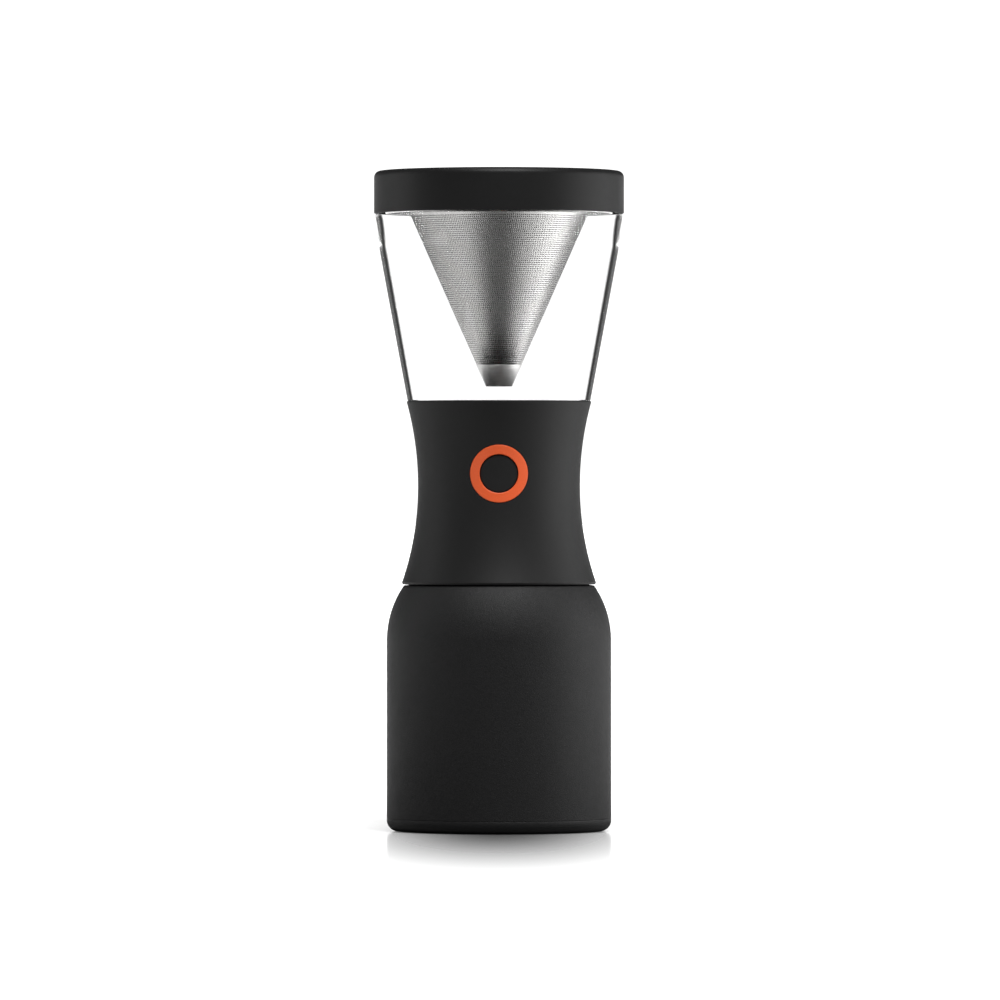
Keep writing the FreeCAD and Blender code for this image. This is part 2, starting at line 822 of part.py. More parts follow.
def plunger():
    """Rod pushed by the button. The ramp in its slot lifts the valve stem."""
    shoulder = rod_front + cell.socket_length
    bar = fuse("PlungerBar", [
        rod_y("PlungerRod", cell.rod_radius, shoulder, cell.rod_reach, button_z),
        rod_y("PlungerSpigot", cell.spigot_radius, rod_front, shoulder, button_z)])
    slot_back = cell.stem_radius + cell.slot_end_room
    slot_top = button_z + cell.rod_radius + cell.slot_overshoot
    slot_front = -(slot_top - button_z + cell.ramp_start) / cell.ramp_slope
    slot = slab("RampSlot", [
        (slot_back, ramp_height(slot_back)),
        (slot_back, slot_top),
        (slot_front, slot_top),
    ], cell.stem_radius + cell.slot_side_room)
    return cut("Plunger", bar, [slot])


def rod_seal():
    """O-ring that keeps coffee off the spring, in the front guide's groove."""
    ring = doc.addObject("Part::Torus", "RodSeal")
    ring.setExpression("Radius1", ((cell.rod_radius + cell.seal_radius) / 2).formula)
    ring.setExpression("Radius2", ((cell.seal_radius - cell.rod_radius) / 2
                                   - cell.flat_gap).formula)
    ring.Placement.Rotation = FreeCAD.Rotation(FreeCAD.Vector(1, 0, 0), -90)
    place(ring, ZERO, gland_back_y - cell.seal_groove / 2, button_z)
    return ring


def gland_bush():
    """Pressed-in washer that holds the O-ring and takes the spring's end."""
    return tube_y("GlandBush", cell.seal_radius, cell.rod_radius + cell.slide_gap,
                  front_guide_y, front_guide_y + cell.bush_thickness, button_z)


def biarc(start, start_way, end, end_way):
    """Two tangent arcs from start to end, leaving and arriving along the given directions."""
    step = end - start
    ways = start_way + end_way
    spread = 2 * (1 - start_way.dot(end_way))
    along = step.dot(ways)
    reach = (-along + math.sqrt(along * along + spread * step.dot(step))) / spread
    first_corner = start + start_way * reach
    last_corner = end - end_way * reach
    joint = (first_corner + last_corner) * 0.5
    arcs = []
    for a, corner, b in ((start, first_corner, joint), (joint, last_corner, end)):
        middle = (a + b) * 0.5
        cosine = (middle - a).Length / (corner - a).Length
        arcs.append(Part.Arc(a, middle + (corner - middle) * (cosine / (1 + cosine)), b))
    return arcs


def return_spring():
    """Steel coil between the button cap and the valve body's front guide."""
    coil = cell.spring_radius.value
    wire = cell.spring_wire.value / 2
    rest = cell.flat_gap.value
    front = rod_front.value + wire + rest
    back = front_guide_y.value - wire - rest
    pitch = (back - front) / spring_turns
    slope = pitch / (2 * math.pi)
    edges = []
    points = []
    for quarter in range(spring_turns * 4 + 1):
        angle = quarter * math.pi / 2
        spot = FreeCAD.Vector(coil * math.cos(angle), front + slope * angle,
                              coil * math.sin(angle))
        way = FreeCAD.Vector(-coil * math.sin(angle), slope, coil * math.cos(angle)).normalize()
        points.append((spot, way))
    for (a, a_way), (b, b_way) in zip(points, points[1:]):
        edges += [arc.toShape() for arc in biarc(a, a_way, b, b_way)]
    section = Part.Wire(Part.makeCircle(wire, points[0][0], points[0][1]))
    print("spring: gap between turns", round(pitch - 2 * wire, 2), "mm")
    spring = doc.addObject("Part::Feature", "ReturnSpring")
    spring.Shape = Part.Wire(edges).makePipeShell([section], True, False)
    spring.Placement = FreeCAD.Placement(FreeCAD.Vector(0, 0, button_z.value),
                                         FreeCAD.Rotation())
    return spring


subpart("button_ring", button_ring())
subpart("button_cap", button_cap())
subpart("plunger", plunger())
subpart("rod_seal", rod_seal())
subpart("gland_bush", gland_bush())
subpart("return_spring", return_spring())

hub_low = seat_z - cell.stopper_hub_length
stem_top = seat_z + cell.stopper_thickness / 2


def valve_stem():
    """Moulded stem with four guide fins and a sloped foot that rides on the ramp."""
    foot = -cell.stem_radius
    reach = cell.stem_radius * 2
    bar = rod_z("StemBar", cell.stem_radius, ramp_height(cell.stem_radius), stem_top)
    half = cell.fin_thickness / 2
    fin_reach = cell.drain_radius - cell.seal_gap
    fin_low = hub_low - cell.fin_length
    fins = [block("FinsAcross", (-fin_reach, -half, fin_low), (fin_reach, half, hub_low)),
            block("FinsAlong", (-half, -fin_reach, fin_low), (half, fin_reach, hub_low))]
    below = slab("FootSlope", [
        (foot - reach, ramp_height(foot - reach) + cell.flat_gap),
        (foot - reach, ramp_height(reach * 2)),
        (reach, ramp_height(reach * 2)),
        (reach, ramp_height(reach) + cell.flat_gap),
    ], reach)
    return cut("ValveStem", fuse("StemWithFins", [bar] + fins), [below])


def valve_stopper():
    """Silicone mushroom on the stem's top that closes the drain."""
    return turned("ValveStopper", [
        (cell.stem_radius, hub_low),
        (cell.stopper_hub_radius, hub_low),
        (cell.stopper_hub_radius, seat_z),
        (cell.seat_radius, seat_z),
        (cell.seat_radius, seat_z + cell.stopper_edge),
        (cell.stopper_hub_radius, seat_z + cell.stopper_thickness),
        (ZERO, seat_z + cell.stopper_thickness),
        (ZERO, stem_top),
        (cell.stem_radius, stem_top),
    ])


subpart("valve_stem", valve_stem())
subpart("valve_stopper", valve_stopper())

# The filter hangs from the chamber's rim; its cone's top is level with the lid's edge
cone_top_z = lid_low - cell.cone_top_drop
tip_low = cone_top_z - cell.cone_height
tip_top = tip_low + cell.tip_height
pan_outside = rim_inside - cell.fit_gap
cone_top_radius = pan_outside - cell.pan_shelf


def filter_rim():
    """Pressed steel pan: flat ring round the cone, upright wall, and lip on the rim."""
    sheet_steel = cell.filter_steel
    inside = pan_outside - sheet_steel
    return turned("FilterRim", [
        (cone_top_radius - cell.mesh_steel, cone_top_z),
        (pan_outside - cell.pan_round, cone_top_z),
        (pan_outside, cone_top_z + cell.pan_round, cell.pan_round, -1),
        (pan_outside, rim_z),
        (rim_radius - cell.fit_gap, rim_z),
        (rim_radius - cell.fit_gap, lip_top_z),
        (inside, lip_top_z),
        (inside, cone_top_z + cell.pan_round),
        (pan_outside - cell.pan_round, cone_top_z + sheet_steel, cell.pan_round - sheet_steel, 1),
        (cone_top_radius - cell.mesh_steel, cone_top_z + sheet_steel),
    ])


def filter_mesh():
    """Cone rolled from finely perforated steel sheet."""
    return turned("FilterMesh", [
        (cell.tip_join_radius - cell.mesh_steel, tip_top),
        (cell.tip_join_radius, tip_top),
        (cone_top_radius, cone_top_z),
        (cone_top_radius - cell.mesh_steel, cone_top_z),
    ])


def filter_tip():
    """Solid steel cup welded to the cone's lower end."""
    sheet_steel = cell.filter_steel
    return turned("FilterTip", [
        (ZERO, tip_low),
        (cell.tip_radius, tip_low),
        (cell.tip_join_radius, tip_top),
        (cell.tip_join_radius - sheet_steel, tip_top),
        (cell.tip_radius - sheet_steel, tip_low + sheet_steel),
        (ZERO, tip_low + sheet_steel),
    ])


subpart("filter_rim", filter_rim())
subpart("filter_mesh", filter_mesh())
subpart("filter_tip", filter_tip())

lid_radius = cell.chamber_shoulder_radius + cell.lid_overhang
plug_outside = pan_outside - cell.filter_steel - cell.seal_gap
plug_low = lid_top_z - cell.plug_depth
groove_low = plug_low + cell.lid_seal_height / 2
groove_high = groove_low + cell.lid_seal_height
groove_radius = plug_outside - cell.lid_seal_depth


def lid_cap():
    """Moulded lid: outer skirt over the rim, and an inner plug ring that holds the seal."""
    inside = lid_radius - cell.lid_wall
    roof = lid_top_z - cell.lid_top
    land = plug_outside - cell.seal_gap
    plug_inside = groove_radius - cell.plug_wall
    return turned("LidCap", [
        (ZERO, roof),
        (plug_inside, roof),
        (plug_inside, plug_low),
        (land, plug_low),
        (land, groove_low),
        (groove_radius, groove_low),
        (groove_radius, groove_high),
        (land, groove_high),
        (land, lip_top_z),
        (rim_radius - cell.seal_gap, lip_top_z),
        (rim_radius - cell.seal_gap, roof),
        (inside, roof),
        (inside, lid_low),
        (lid_radius, lid_low),
        (lid_radius, lid_top_z - cell.lid_edge),
        (lid_radius - cell.lid_edge, lid_top_z, cell.lid_edge, -1),
        (ZERO, lid_top_z),
    ])


def lid_seal():
    """Silicone ring in the lid's groove that wipes the pan's wall."""
    return turned("LidSeal", [
        (groove_radius, groove_low),
        (plug_outside, groove_low),
        (plug_outside, groove_high),
        (groove_radius, groove_high),
    ])


subpart("lid_cap", lid_cap())
subpart("lid_seal", lid_seal())

doc.recompute()
for item in doc.Objects:
    if "Invalid" in item.State or "Error" in item.State:
        raise RuntimeError(f"{item.Name} did not build: {item.State}")
for item in subparts:
    if item.Shape.isNull() or not item.Shape.isValid() or not item.Shape.Solids:
        raise RuntimeError(f"{item.Label} has no valid solid")

os.makedirs("parts", exist_ok=True)
for item in subparts:
    item.Shape.exportStep(f"parts/{item.Label}.step")
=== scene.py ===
import math

import bpy
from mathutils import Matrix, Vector


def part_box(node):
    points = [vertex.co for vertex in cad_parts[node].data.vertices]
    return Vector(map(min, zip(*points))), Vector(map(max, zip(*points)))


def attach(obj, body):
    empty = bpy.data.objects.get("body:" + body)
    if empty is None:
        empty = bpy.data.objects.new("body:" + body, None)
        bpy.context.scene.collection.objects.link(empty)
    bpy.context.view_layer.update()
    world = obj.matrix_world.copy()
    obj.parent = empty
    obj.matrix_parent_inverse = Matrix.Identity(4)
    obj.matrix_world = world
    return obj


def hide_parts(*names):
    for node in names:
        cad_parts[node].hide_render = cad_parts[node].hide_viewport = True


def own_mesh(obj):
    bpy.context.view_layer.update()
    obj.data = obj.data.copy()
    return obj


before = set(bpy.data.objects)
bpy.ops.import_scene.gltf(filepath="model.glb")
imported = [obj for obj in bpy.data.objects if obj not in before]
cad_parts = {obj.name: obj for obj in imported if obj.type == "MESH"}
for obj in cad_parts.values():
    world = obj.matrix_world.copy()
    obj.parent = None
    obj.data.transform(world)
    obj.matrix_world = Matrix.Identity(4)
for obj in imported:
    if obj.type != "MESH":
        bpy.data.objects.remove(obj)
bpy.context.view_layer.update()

# Carafe. A double-walled bottle of thin stainless steel, drawn and spun to a domed
# shoulder and a plain neck. Outside it is powder coated in matt black from the base pan
# to the dome; the neck and the inside are bare steel.

# Outlines are written in millimetres, as on a shop drawing, and scaled to metres where
# a mesh is made.
MM = 0.001
ROUND_STEPS = 6
TURN_STEPS = 224
carafe_radius = 56.1
carafe_side = 95.5
shoulder_curve = 48.0
shoulder_centre = (carafe_radius - shoulder_curve, carafe_side)
ledge = 123.0
dome_curve = shoulder_curve - 2.0
neck_radius = 32.5
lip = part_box("carafe_liner")[1][2] / MM
steel = 0.8
liner_lift = 8.0
liner_wall = carafe_radius - 2 * steel - 3.0
liner_neck = neck_radius - 2 * steel - 0.5
liner_curve = shoulder_curve - 2 * steel - 3.0


def height_on(curve, radius):
    """Height at which a shoulder arc of this curve reaches a radius."""
    return carafe_side + math.sqrt(curve * curve - (radius - shoulder_centre[0]) ** 2)


def corner_arc(before, corner, after, radius):
    """The points of a rounding of this radius at one corner of an outline."""
    a = Vector(before) - Vector(corner)
    b = Vector(after) - Vector(corner)
    opening = a.angle(b)
    if radius <= 0 or opening > math.radians(179):
        return [tuple(corner)]
    setback = min(radius / math.tan(opening / 2), 0.49 * a.length, 0.49 * b.length)
    radius = setback * math.tan(opening / 2)
    start = Vector(corner) + a.normalized() * setback
    end = Vector(corner) + b.normalized() * setback
    middle = (a.normalized() + b.normalized()).normalized()
    centre = Vector(corner) + middle * (radius / math.sin(opening / 2))
    first = start - centre
    last = end - centre
    turn = math.atan2(first.cross(last), first.dot(last))
    angle = math.atan2(first.y, first.x)
    points = []
    for step in range(ROUND_STEPS + 1):
        here = angle + turn * step / ROUND_STEPS
        points.append((centre.x + radius * math.cos(here), centre.y + radius * math.sin(here)))
    return points


def eased(outline, closed=True):
    """An outline with its corners rounded. A point is (radius, height, rounding)."""
    points = []
    count = len(outline)
    for i, point in enumerate(outline):
        rounding = point[2] if len(point) > 2 else 0
        at_end = not closed and i in (0, count - 1)
        if at_end or rounding == 0:
            points.append(point[:2])
            continue
        before = outline[i - 1][:2]
        after = outline[(i + 1) % count][:2]
        points += corner_arc(before, point[:2], after, rounding)
    return points


def arc_run(centre, curve, start, end, steps):
    """Points of a long arc that swells outward between two heights."""
    points = []
    for step in range(steps + 1):
        z = start + (end - start) * step / steps
        reach = math.sqrt(max(curve * curve - (z - centre[1]) ** 2, 0.0))
        points.append((centre[0] + reach, z))
    return points


base_seam = 6.5
cove_radius = neck_radius + 1.6
neck_foot = height_on(dome_curve, cove_radius)
skin = [(carafe_radius, base_seam + 0.12), (carafe_radius, base_seam + 0.4)]
skin += arc_run(shoulder_centre, shoulder_curve, carafe_side, ledge - 0.35, 40)
skin += eased([(47.2, ledge - 0.1), (45.35, ledge, 0.0)], closed=False)
skin += arc_run(shoulder_centre, dome_curve, ledge + 0.4, neck_foot, 16)
neck = [(cove_radius, neck_foot), (neck_radius + 0.7, neck_foot + 0.55),
        (neck_radius + 0.15, neck_foot + 1.3), (neck_radius, neck_foot + 2.2),
        (neck_radius, lip - steel)]
inside = [(neck_radius - steel, lip - steel), (neck_radius - steel, neck_foot - 0.8)]
inside += arc_run(shoulder_centre, dome_curve - steel,
                  height_on(dome_curve - steel, neck_radius + 0.8), carafe_side, 16)
inside += [(carafe_radius - steel, carafe_side), (carafe_radius - steel, base_seam + 0.12)]


def finish_mesh(name, vertices, faces, material, sharp_above=32):
    """A smooth-shaded piece, with its edges sharp above this angle in degrees."""
    mesh = bpy.data.meshes.new(name)
    mesh.from_pydata(vertices, [], faces)
    mesh.validate()
    mesh.polygons.foreach_set("use_smooth", [True] * len(mesh.polygons))
    mesh.set_sharp_from_angle(angle=math.radians(sharp_above))
    piece = bpy.data.objects.new(name, mesh)
    bpy.context.scene.collection.objects.link(piece)
    if material:
        mesh.materials.append(material)
    return piece


def lathe(name, outline, material, closed=True, steps=TURN_STEPS):
    """A piece turned about the upright axis from its outline in millimetres."""
    vertices = []
    rings = []
    for radius, height in outline:
        if radius < 1e-6:
            rings.append([len(vertices)])
            vertices.append((0, 0, height * MM))
            continue
        ring = []
        for step in range(steps):
            angle = 2 * math.pi * step / steps
            ring.append(len(vertices))
            vertices.append((radius * MM * math.cos(angle), radius * MM * math.sin(angle),
                             height * MM))
        rings.append(ring)
    pairs = list(zip(rings, rings[1:]))
    if closed and not (len(rings[0]) == 1 and len(rings[-1]) == 1):
        pairs.append((rings[-1], rings[0]))
    faces = []
    for lower, upper in pairs:
        for step in range(steps):
            after = (step + 1) % steps
            if len(lower) == 1 and len(upper) == 1:
                break
            if len(lower) == 1:
                faces.append((lower[0], upper[after], upper[step]))
            elif len(upper) == 1:
                faces.append((lower[step], lower[after], upper[0]))
            else:
                faces.append((lower[step], lower[after], upper[after], upper[step]))
    return finish_mesh(name, vertices, faces, material)


def new_material(name, colour, roughness, metallic=0.0):
    """A material with its Principled shader's plain values set."""
    material = bpy.data.materials.new(name)
    material.use_nodes = True
    shader = material.node_tree.nodes["Principled BSDF"]
    shader.inputs["Base Color"].default_value = (*colour, 1)
    shader.inputs["Roughness"].default_value = roughness
    shader.inputs["Metallic"].default_value = metallic
    return material, material.node_tree, shader


def new_group(name, inputs, outputs):
    """A shader node group with named number inputs and outputs."""
    group = bpy.data.node_groups.new(name, "ShaderNodeTree")
    for label, value in inputs.items():
        socket = group.interface.new_socket(label, in_out="INPUT", socket_type="NodeSocketFloat")
        socket.default_value = value
    for label, kind in outputs.items():
        group.interface.new_socket(label, in_out="OUTPUT", socket_type=kind)
    source = group.nodes.new("NodeGroupInput")
    result = group.nodes.new("NodeGroupOutput")
    return group, source, result


def place_group(tree, group, **values):
    """Puts a node group into a material with this material's own values."""
    node = tree.nodes.new("ShaderNodeGroup")
    node.node_tree = group
    for label, value in values.items():
        node.inputs[label.replace("_", " ")].default_value = value
    return node


def sum_node(tree, operation, first, second=None, third=None):
    """A Math node. Each term is a number or the socket that gives it."""
    node = tree.nodes.new("ShaderNodeMath")
    node.operation = operation
    for index, term in enumerate((first, second, third)):
        if term is None:
            continue
        if isinstance(term, (int, float)):
            node.inputs[index].default_value = term
        else:
            tree.links.new(term, node.inputs[index])
    return node.outputs[0]


def moulded_grain_group():
    """Fine spark-eroded or powder texture: pits and crowns, a few glossier crowns with a painted
    glint in their colour, and slow unevenness of gloss. Grain size is the number of grains
    in a metre."""
    group, source, result = new_group(
        "moulded_grain", {"Grain": 2600.0, "Depth": 0.6, "Gloss": 0.5, "Gloss Change": 0.08,
                          "Sparkle": 0.0},
        {"Height": "NodeSocketFloat", "Gloss": "NodeSocketFloat", "Shade": "NodeSocketFloat"})
    nodes, links = group.nodes, group.links
    crown_level = 0.66
    place = nodes.new("ShaderNodeTexCoord").outputs["Object"]
    fine = nodes.new("ShaderNodeTexNoise")
    fine.inputs["Detail"].default_value = 3
    links.new(place, fine.inputs["Vector"])
    links.new(source.outputs["Grain"], fine.inputs["Scale"])
    slow = nodes.new("ShaderNodeTexNoise")
    slow.inputs["Scale"].default_value = 38
    slow.inputs["Detail"].default_value = 2
    links.new(place, slow.inputs["Vector"])
    height = sum_node(group, "MULTIPLY", fine.outputs["Fac"], source.outputs["Depth"])
    links.new(height, result.inputs["Height"])
    crown = sum_node(group, "GREATER_THAN", fine.outputs["Fac"], crown_level)
    spark = sum_node(group, "MULTIPLY", crown, source.outputs["Sparkle"])
    drift = sum_node(group, "SUBTRACT", slow.outputs["Fac"], 0.5)
    gloss = sum_node(group, "MULTIPLY_ADD", drift, source.outputs["Gloss Change"],
                     source.outputs["Gloss"])
    gloss = sum_node(group, "SUBTRACT", gloss, sum_node(group, "MULTIPLY", spark, 0.25))
    links.new(gloss, result.inputs["Gloss"])
    shade = sum_node(group, "MULTIPLY_ADD", fine.outputs["Fac"], 0.25, 0.875)
    # Sparkle also lifts the crowns' colour, as a painted glint on top of the real glint that
    # their lower roughness gives.
    shade = sum_node(group, "ADD", shade, spark)
    links.new(shade, result.inputs["Shade"])
    return group


moulded_grain = moulded_grain_group()


def textured(tree, shader, detail, colour, bump, strength):
    """Gives a shader the gloss, shade and relief that a texture group puts out."""
    tree.links.new(detail.outputs["Gloss"], shader.inputs["Roughness"])
    tint = tree.nodes.new("ShaderNodeVectorMath")
    tint.operation = "SCALE"
    tint.inputs[0].default_value = colour
    tree.links.new(detail.outputs["Shade"], tint.inputs["Scale"])
    tree.links.new(tint.outputs[0], shader.inputs["Base Color"])
    relief = tree.nodes.new("ShaderNodeBump")
    relief.inputs["Distance"].default_value = bump
    relief.inputs["Strength"].default_value = strength
    tree.links.new(detail.outputs["Height"], relief.inputs["Height"])
    tree.links.new(relief.outputs["Normal"], shader.inputs["Normal"])


def grained(name, colour, gloss, grain, depth, sparkle=0.0, bump=0.0002, sheen=0.5):
    """A plastic or coating with its moulded grain in colour, gloss and relief."""
    material, tree, shader = new_material(name, colour, gloss)
    shader.inputs["Specular IOR Level"].default_value = sheen
    detail = place_group(tree, moulded_grain, Grain=grain, Depth=depth, Gloss=gloss,
                         Sparkle=sparkle)
    textured(tree, shader, detail, colour, bump, 0.6)
    return material


# The coat's sparkle is partly real gloss on its crowns and partly a painted glint in their
# colour.
powder_coat = grained("black_powder_coat", (0.0085, 0.0085, 0.0088), 0.5, 2900, 1.0,
                      sparkle=0.55, bump=0.00035, sheen=0.22)


def turned_lines_group():
    """Fine rings left by turning or spinning, as streaks that run round the upright axis."""
    group, source, result = new_group(
        "turned_lines", {"Lines": 3000.0, "Gloss": 0.3, "Gloss Change": 0.15},
        {"Height": "NodeSocketFloat", "Gloss": "NodeSocketFloat", "Shade": "NodeSocketFloat"})
    nodes, links = group.nodes, group.links
    parts = nodes.new("ShaderNodeSeparateXYZ")
    links.new(nodes.new("ShaderNodeTexCoord").outputs["Object"], parts.inputs[0])
    x, y, z = parts.outputs
    squares = sum_node(group, "ADD", sum_node(group, "MULTIPLY", x, x),
                       sum_node(group, "MULTIPLY", y, y))
    across = sum_node(group, "SQRT", squares)
    turn = sum_node(group, "ARCTAN2", y, x)
    spot = nodes.new("ShaderNodeCombineXYZ")
    links.new(sum_node(group, "MULTIPLY", across, source.outputs["Lines"]), spot.inputs[0])
    links.new(sum_node(group, "MULTIPLY", turn, 1.5), spot.inputs[1])
    links.new(sum_node(group, "MULTIPLY", z, source.outputs["Lines"]), spot.inputs[2])
    streak = nodes.new("ShaderNodeTexNoise")
    streak.inputs["Scale"].default_value = 1
    streak.inputs["Detail"].default_value = 3
    links.new(spot.outputs[0], streak.inputs["Vector"])
    links.new(streak.outputs["Fac"], result.inputs["Height"])
    drift = sum_node(group, "SUBTRACT", streak.outputs["Fac"], 0.5)
    links.new(sum_node(group, "MULTIPLY_ADD", drift, source.outputs["Gloss Change"],
                       source.outputs["Gloss"]), result.inputs["Gloss"])
    links.new(sum_node(group, "MULTIPLY_ADD", drift, 0.3, 1.0), result.inputs["Shade"])
    return group


turned_lines = turned_lines_group()


def spun_steel(name, colour, gloss, lines=3000.0, bump=0.00005):
    """Stainless steel with the rings of spinning and polishing."""
    material, tree, shader = new_material(name, colour, gloss, metallic=1.0)
    detail = place_group(tree, turned_lines, Lines=lines, Gloss=gloss)
    textured(tree, shader, detail, colour, bump, 0.3)
    return material


bare_steel = spun_steel("carafe_bare_steel", (0.58, 0.57, 0.55), 0.24)

carafe_body = lathe("carafe_body", skin + neck + inside, powder_coat)
carafe_body.data.materials.append(bare_steel)
for face in carafe_body.data.polygons:
    if face.center.z > (neck_foot + 0.3) * MM:
        face.material_index = 1
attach(carafe_body, "carafe")
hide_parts("carafe_shell")

# Base pan. A shallow pressing of the same sheet, welded to the wall at a fine seam and
# powder coated with it. It stands on a foot ring, with its middle raised off the table.

pan_rise = 2.0
pan_bend = 5.5
pan_middle = 43.0
foot_inner = 44.6
foot_outer = carafe_radius - pan_bend
pan_top = 6.7
pan = eased([(0, pan_rise), (pan_middle, pan_rise, 1.2), (foot_inner, 0.0, 1.2),
             (foot_outer, 0.0, 0)], closed=False)
pan += [(foot_outer + pan_bend * math.sin(a), pan_bend - pan_bend * math.cos(a))
        for a in (math.radians(d) for d in range(8, 91, 6))]
pan += [(carafe_radius, 6.05), (carafe_radius - 0.14, base_seam), (carafe_radius, 6.62)]
pan += [(carafe_radius, pan_top), (carafe_radius - steel, pan_top),
        (carafe_radius - steel, pan_bend), (foot_outer, steel), (foot_inner + 0.3, steel),
        (pan_middle + 0.4, pan_rise + steel), (0, pan_rise + steel)]
carafe_pan = lathe("carafe_pan", pan, powder_coat)
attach(carafe_pan, "carafe")
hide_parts("carafe_base")

# Liner. The inner bottle of bare stainless steel, drawn in one piece. Its rolled lip is
# welded to the outer neck, and the air between the two walls is pumped out.

wall_start = 40
neck_start = 134
liner = eased([(0, liner_lift), (liner_wall, liner_lift, 8.8), (liner_wall, wall_start)],
              closed=False)
liner += arc_run(shoulder_centre, liner_curve, carafe_side,
                 height_on(liner_curve, liner_neck), 20)
liner += eased([(liner_neck, neck_start), (liner_neck, lip - steel),
                (neck_radius, lip - steel, 0.2),
                (neck_radius, lip, 0.5), (liner_neck - steel, lip, 0.5),
                (liner_neck - steel, neck_start)], closed=False)
liner += arc_run(shoulder_centre, liner_curve - steel,
                 height_on(liner_curve - steel, liner_neck - steel), carafe_side, 20)
liner += eased([(liner_wall - steel, wall_start),
                (liner_wall - steel, liner_lift + steel, 8.0),
                (0, liner_lift + steel)], closed=False)
carafe_inside = lathe("carafe_inside", liner, bare_steel)
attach(carafe_inside, "carafe")
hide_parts("carafe_liner")

# Screw threads. The neck has a rolled thread of one and a half turns, and the collar in
# the grip has the matching moulded one. Both are low, and run out smoothly at their ends.


def thread(name, radius, height, start, pitch, turns, width, material, outward):
    """A helical ridge on a round wall. outward is +1 on an outside wall, -1 on an inside."""
    steps = int(96 * turns)
    vertices = []
    faces = []
    for step in range(steps + 1):
        share = step / steps
        fade = min(1, share * 9, (1 - share) * 9)
        angle = 2 * math.pi * turns * share
        z = start + pitch * turns * share
        crest = radius + outward * height * fade
        foot = radius - outward * 0.05
        for r, up in ((foot, -width), (crest, -width * 0.35), (crest, width * 0.35),
                      (foot, width)):
            vertices.append((r * MM * math.cos(angle), r * MM * math.sin(angle),
                             (z + up) * MM))
        if step:
            base = 4 * (step - 1)
            for side in range(4):
                after = (side + 1) % 4
                quad = (base + side, base + after, base + 4 + after, base + 4 + side)
                faces.append(quad if outward > 0 else quad[::-1])
    return finish_mesh(name, vertices, faces, material, sharp_above=60)


thread_pitch = 4.0
thread_height = 0.6
neck_thread_start = 139.2
neck_thread = thread("neck_thread", neck_radius, thread_height, neck_thread_start,
                     thread_pitch, 1.5, 0.9, bare_steel, 1)
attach(neck_thread, "carafe")

collar_black = grained("collar_black", (0.02, 0.02, 0.02), 0.45, 1800, 0.4, bump=0.0001)
collar_bore = neck_radius + 1.4
collar_thread_start = 141.2
collar_thread = thread("collar_thread", collar_bore, thread_height, collar_thread_start,
                       thread_pitch, 1.25, 0.8, collar_black, -1)
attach(collar_thread, "brewer")

# Small sealed pieces of the carafe: the brazed bead under the base, the getter between the
# walls, and the silicone gasket that the grip presses onto the neck's lip.


def node_finish(node, material):
    """Gives a solid of the frame that is shown as it is its material."""
    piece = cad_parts[node]
    piece.data.materials.clear()
    piece.data.materials.append(material)


braze = spun_steel("braze_bead", (0.5, 0.45, 0.38), 0.5, lines=900)
node_finish("vacuum_seal", braze)
node_finish("getter", spun_steel("getter_tray", (0.35, 0.35, 0.36), 0.5))
silicone = grained("milky_silicone", (0.55, 0.55, 0.53), 0.42, 900, 0.3, bump=0.00005)
silicone.node_tree.nodes["Principled BSDF"].inputs["Subsurface Weight"].default_value = 0.25
node_finish("neck_gasket", silicone)

# Grip. An hourglass shell of matt black plastic with a fine spark-eroded grain. The brew
# button's hole is in its front, and the button's ring lies flush in a shallow seat.

grip_low = ledge + 0.3
grip_top = 215.0
waist_radius = 40.5
waist_height = 172.5
grip_foot_radius = 48.54
grip_head_radius = 46.03
grip_edge = 1.0
grip_wall = 2.0
button_height = 178.6


def flare_curve(height, flare):
    """Radius of the arc that leaves the waist upright and gains flare over height."""
    return (height * height + flare * flare) / (2 * flare)


lower_flare = flare_curve(waist_height - grip_low - grip_edge, grip_foot_radius - waist_radius)
upper_flare = flare_curve(grip_top - grip_edge - waist_height, grip_head_radius - waist_radius)


def grip_surface(z, inset=0.0):
    """Radius of the grip at a height, set in by inset."""
    flare = lower_flare if z < waist_height else upper_flare
    offset = flare + inset
    return waist_radius + flare - math.sqrt(offset * offset - (z - waist_height) ** 2)


def wall_run(start, end, inset):
    """Points of the grip's wall between two heights."""
    steps = 44
    heights = [start + (end - start) * i / steps for i in range(steps + 1)]
    return [(grip_surface(z, inset), z) for z in heights]


grip_black = grained("grip_black_plastic", (0.0095, 0.0095, 0.0096), 0.52, 3600, 0.8,
                     sparkle=0.08, bump=0.00012, sheen=0.2)
shell = eased([(grip_foot_radius - 1.9, grip_low), (grip_foot_radius - 0.35, grip_low, 0.7),
               (grip_foot_radius, grip_low + 1.1, 0.5),
               (grip_surface(grip_low + 3), grip_low + 3)], closed=False)
shell += wall_run(grip_low + 3.4, grip_top - 1.6, 0)
shell += eased([(grip_surface(grip_top - 1.4), grip_top - 1.4),
                (grip_surface(grip_top) - 0.05, grip_top, 0.75),
                (grip_surface(grip_top) - 1.9, grip_top)], closed=False)
shell += wall_run(grip_top - 0.4, grip_low + 0.1, grip_wall)
grip_body = lathe("grip_body", shell, grip_black, steps=320)


def drill(target, tool):
    """Cuts a closed tool away from a piece."""
    cut = target.modifiers.new("opening", "BOOLEAN")
    cut.operation = "DIFFERENCE"
    cut.solver = "EXACT"
    cut.object = tool
    bpy.context.view_layer.objects.active = target
    bpy.ops.object.modifier_apply(modifier=cut.name)
    bpy.data.objects.remove(tool)


def on_grip(across, up, depth):
    """The point of the grip's front at this place, sunk by depth."""
    z = button_height + up
    radius = grip_surface(z)
    return (across * MM, (-math.sqrt(radius * radius - across * across) + depth) * MM, z * MM)


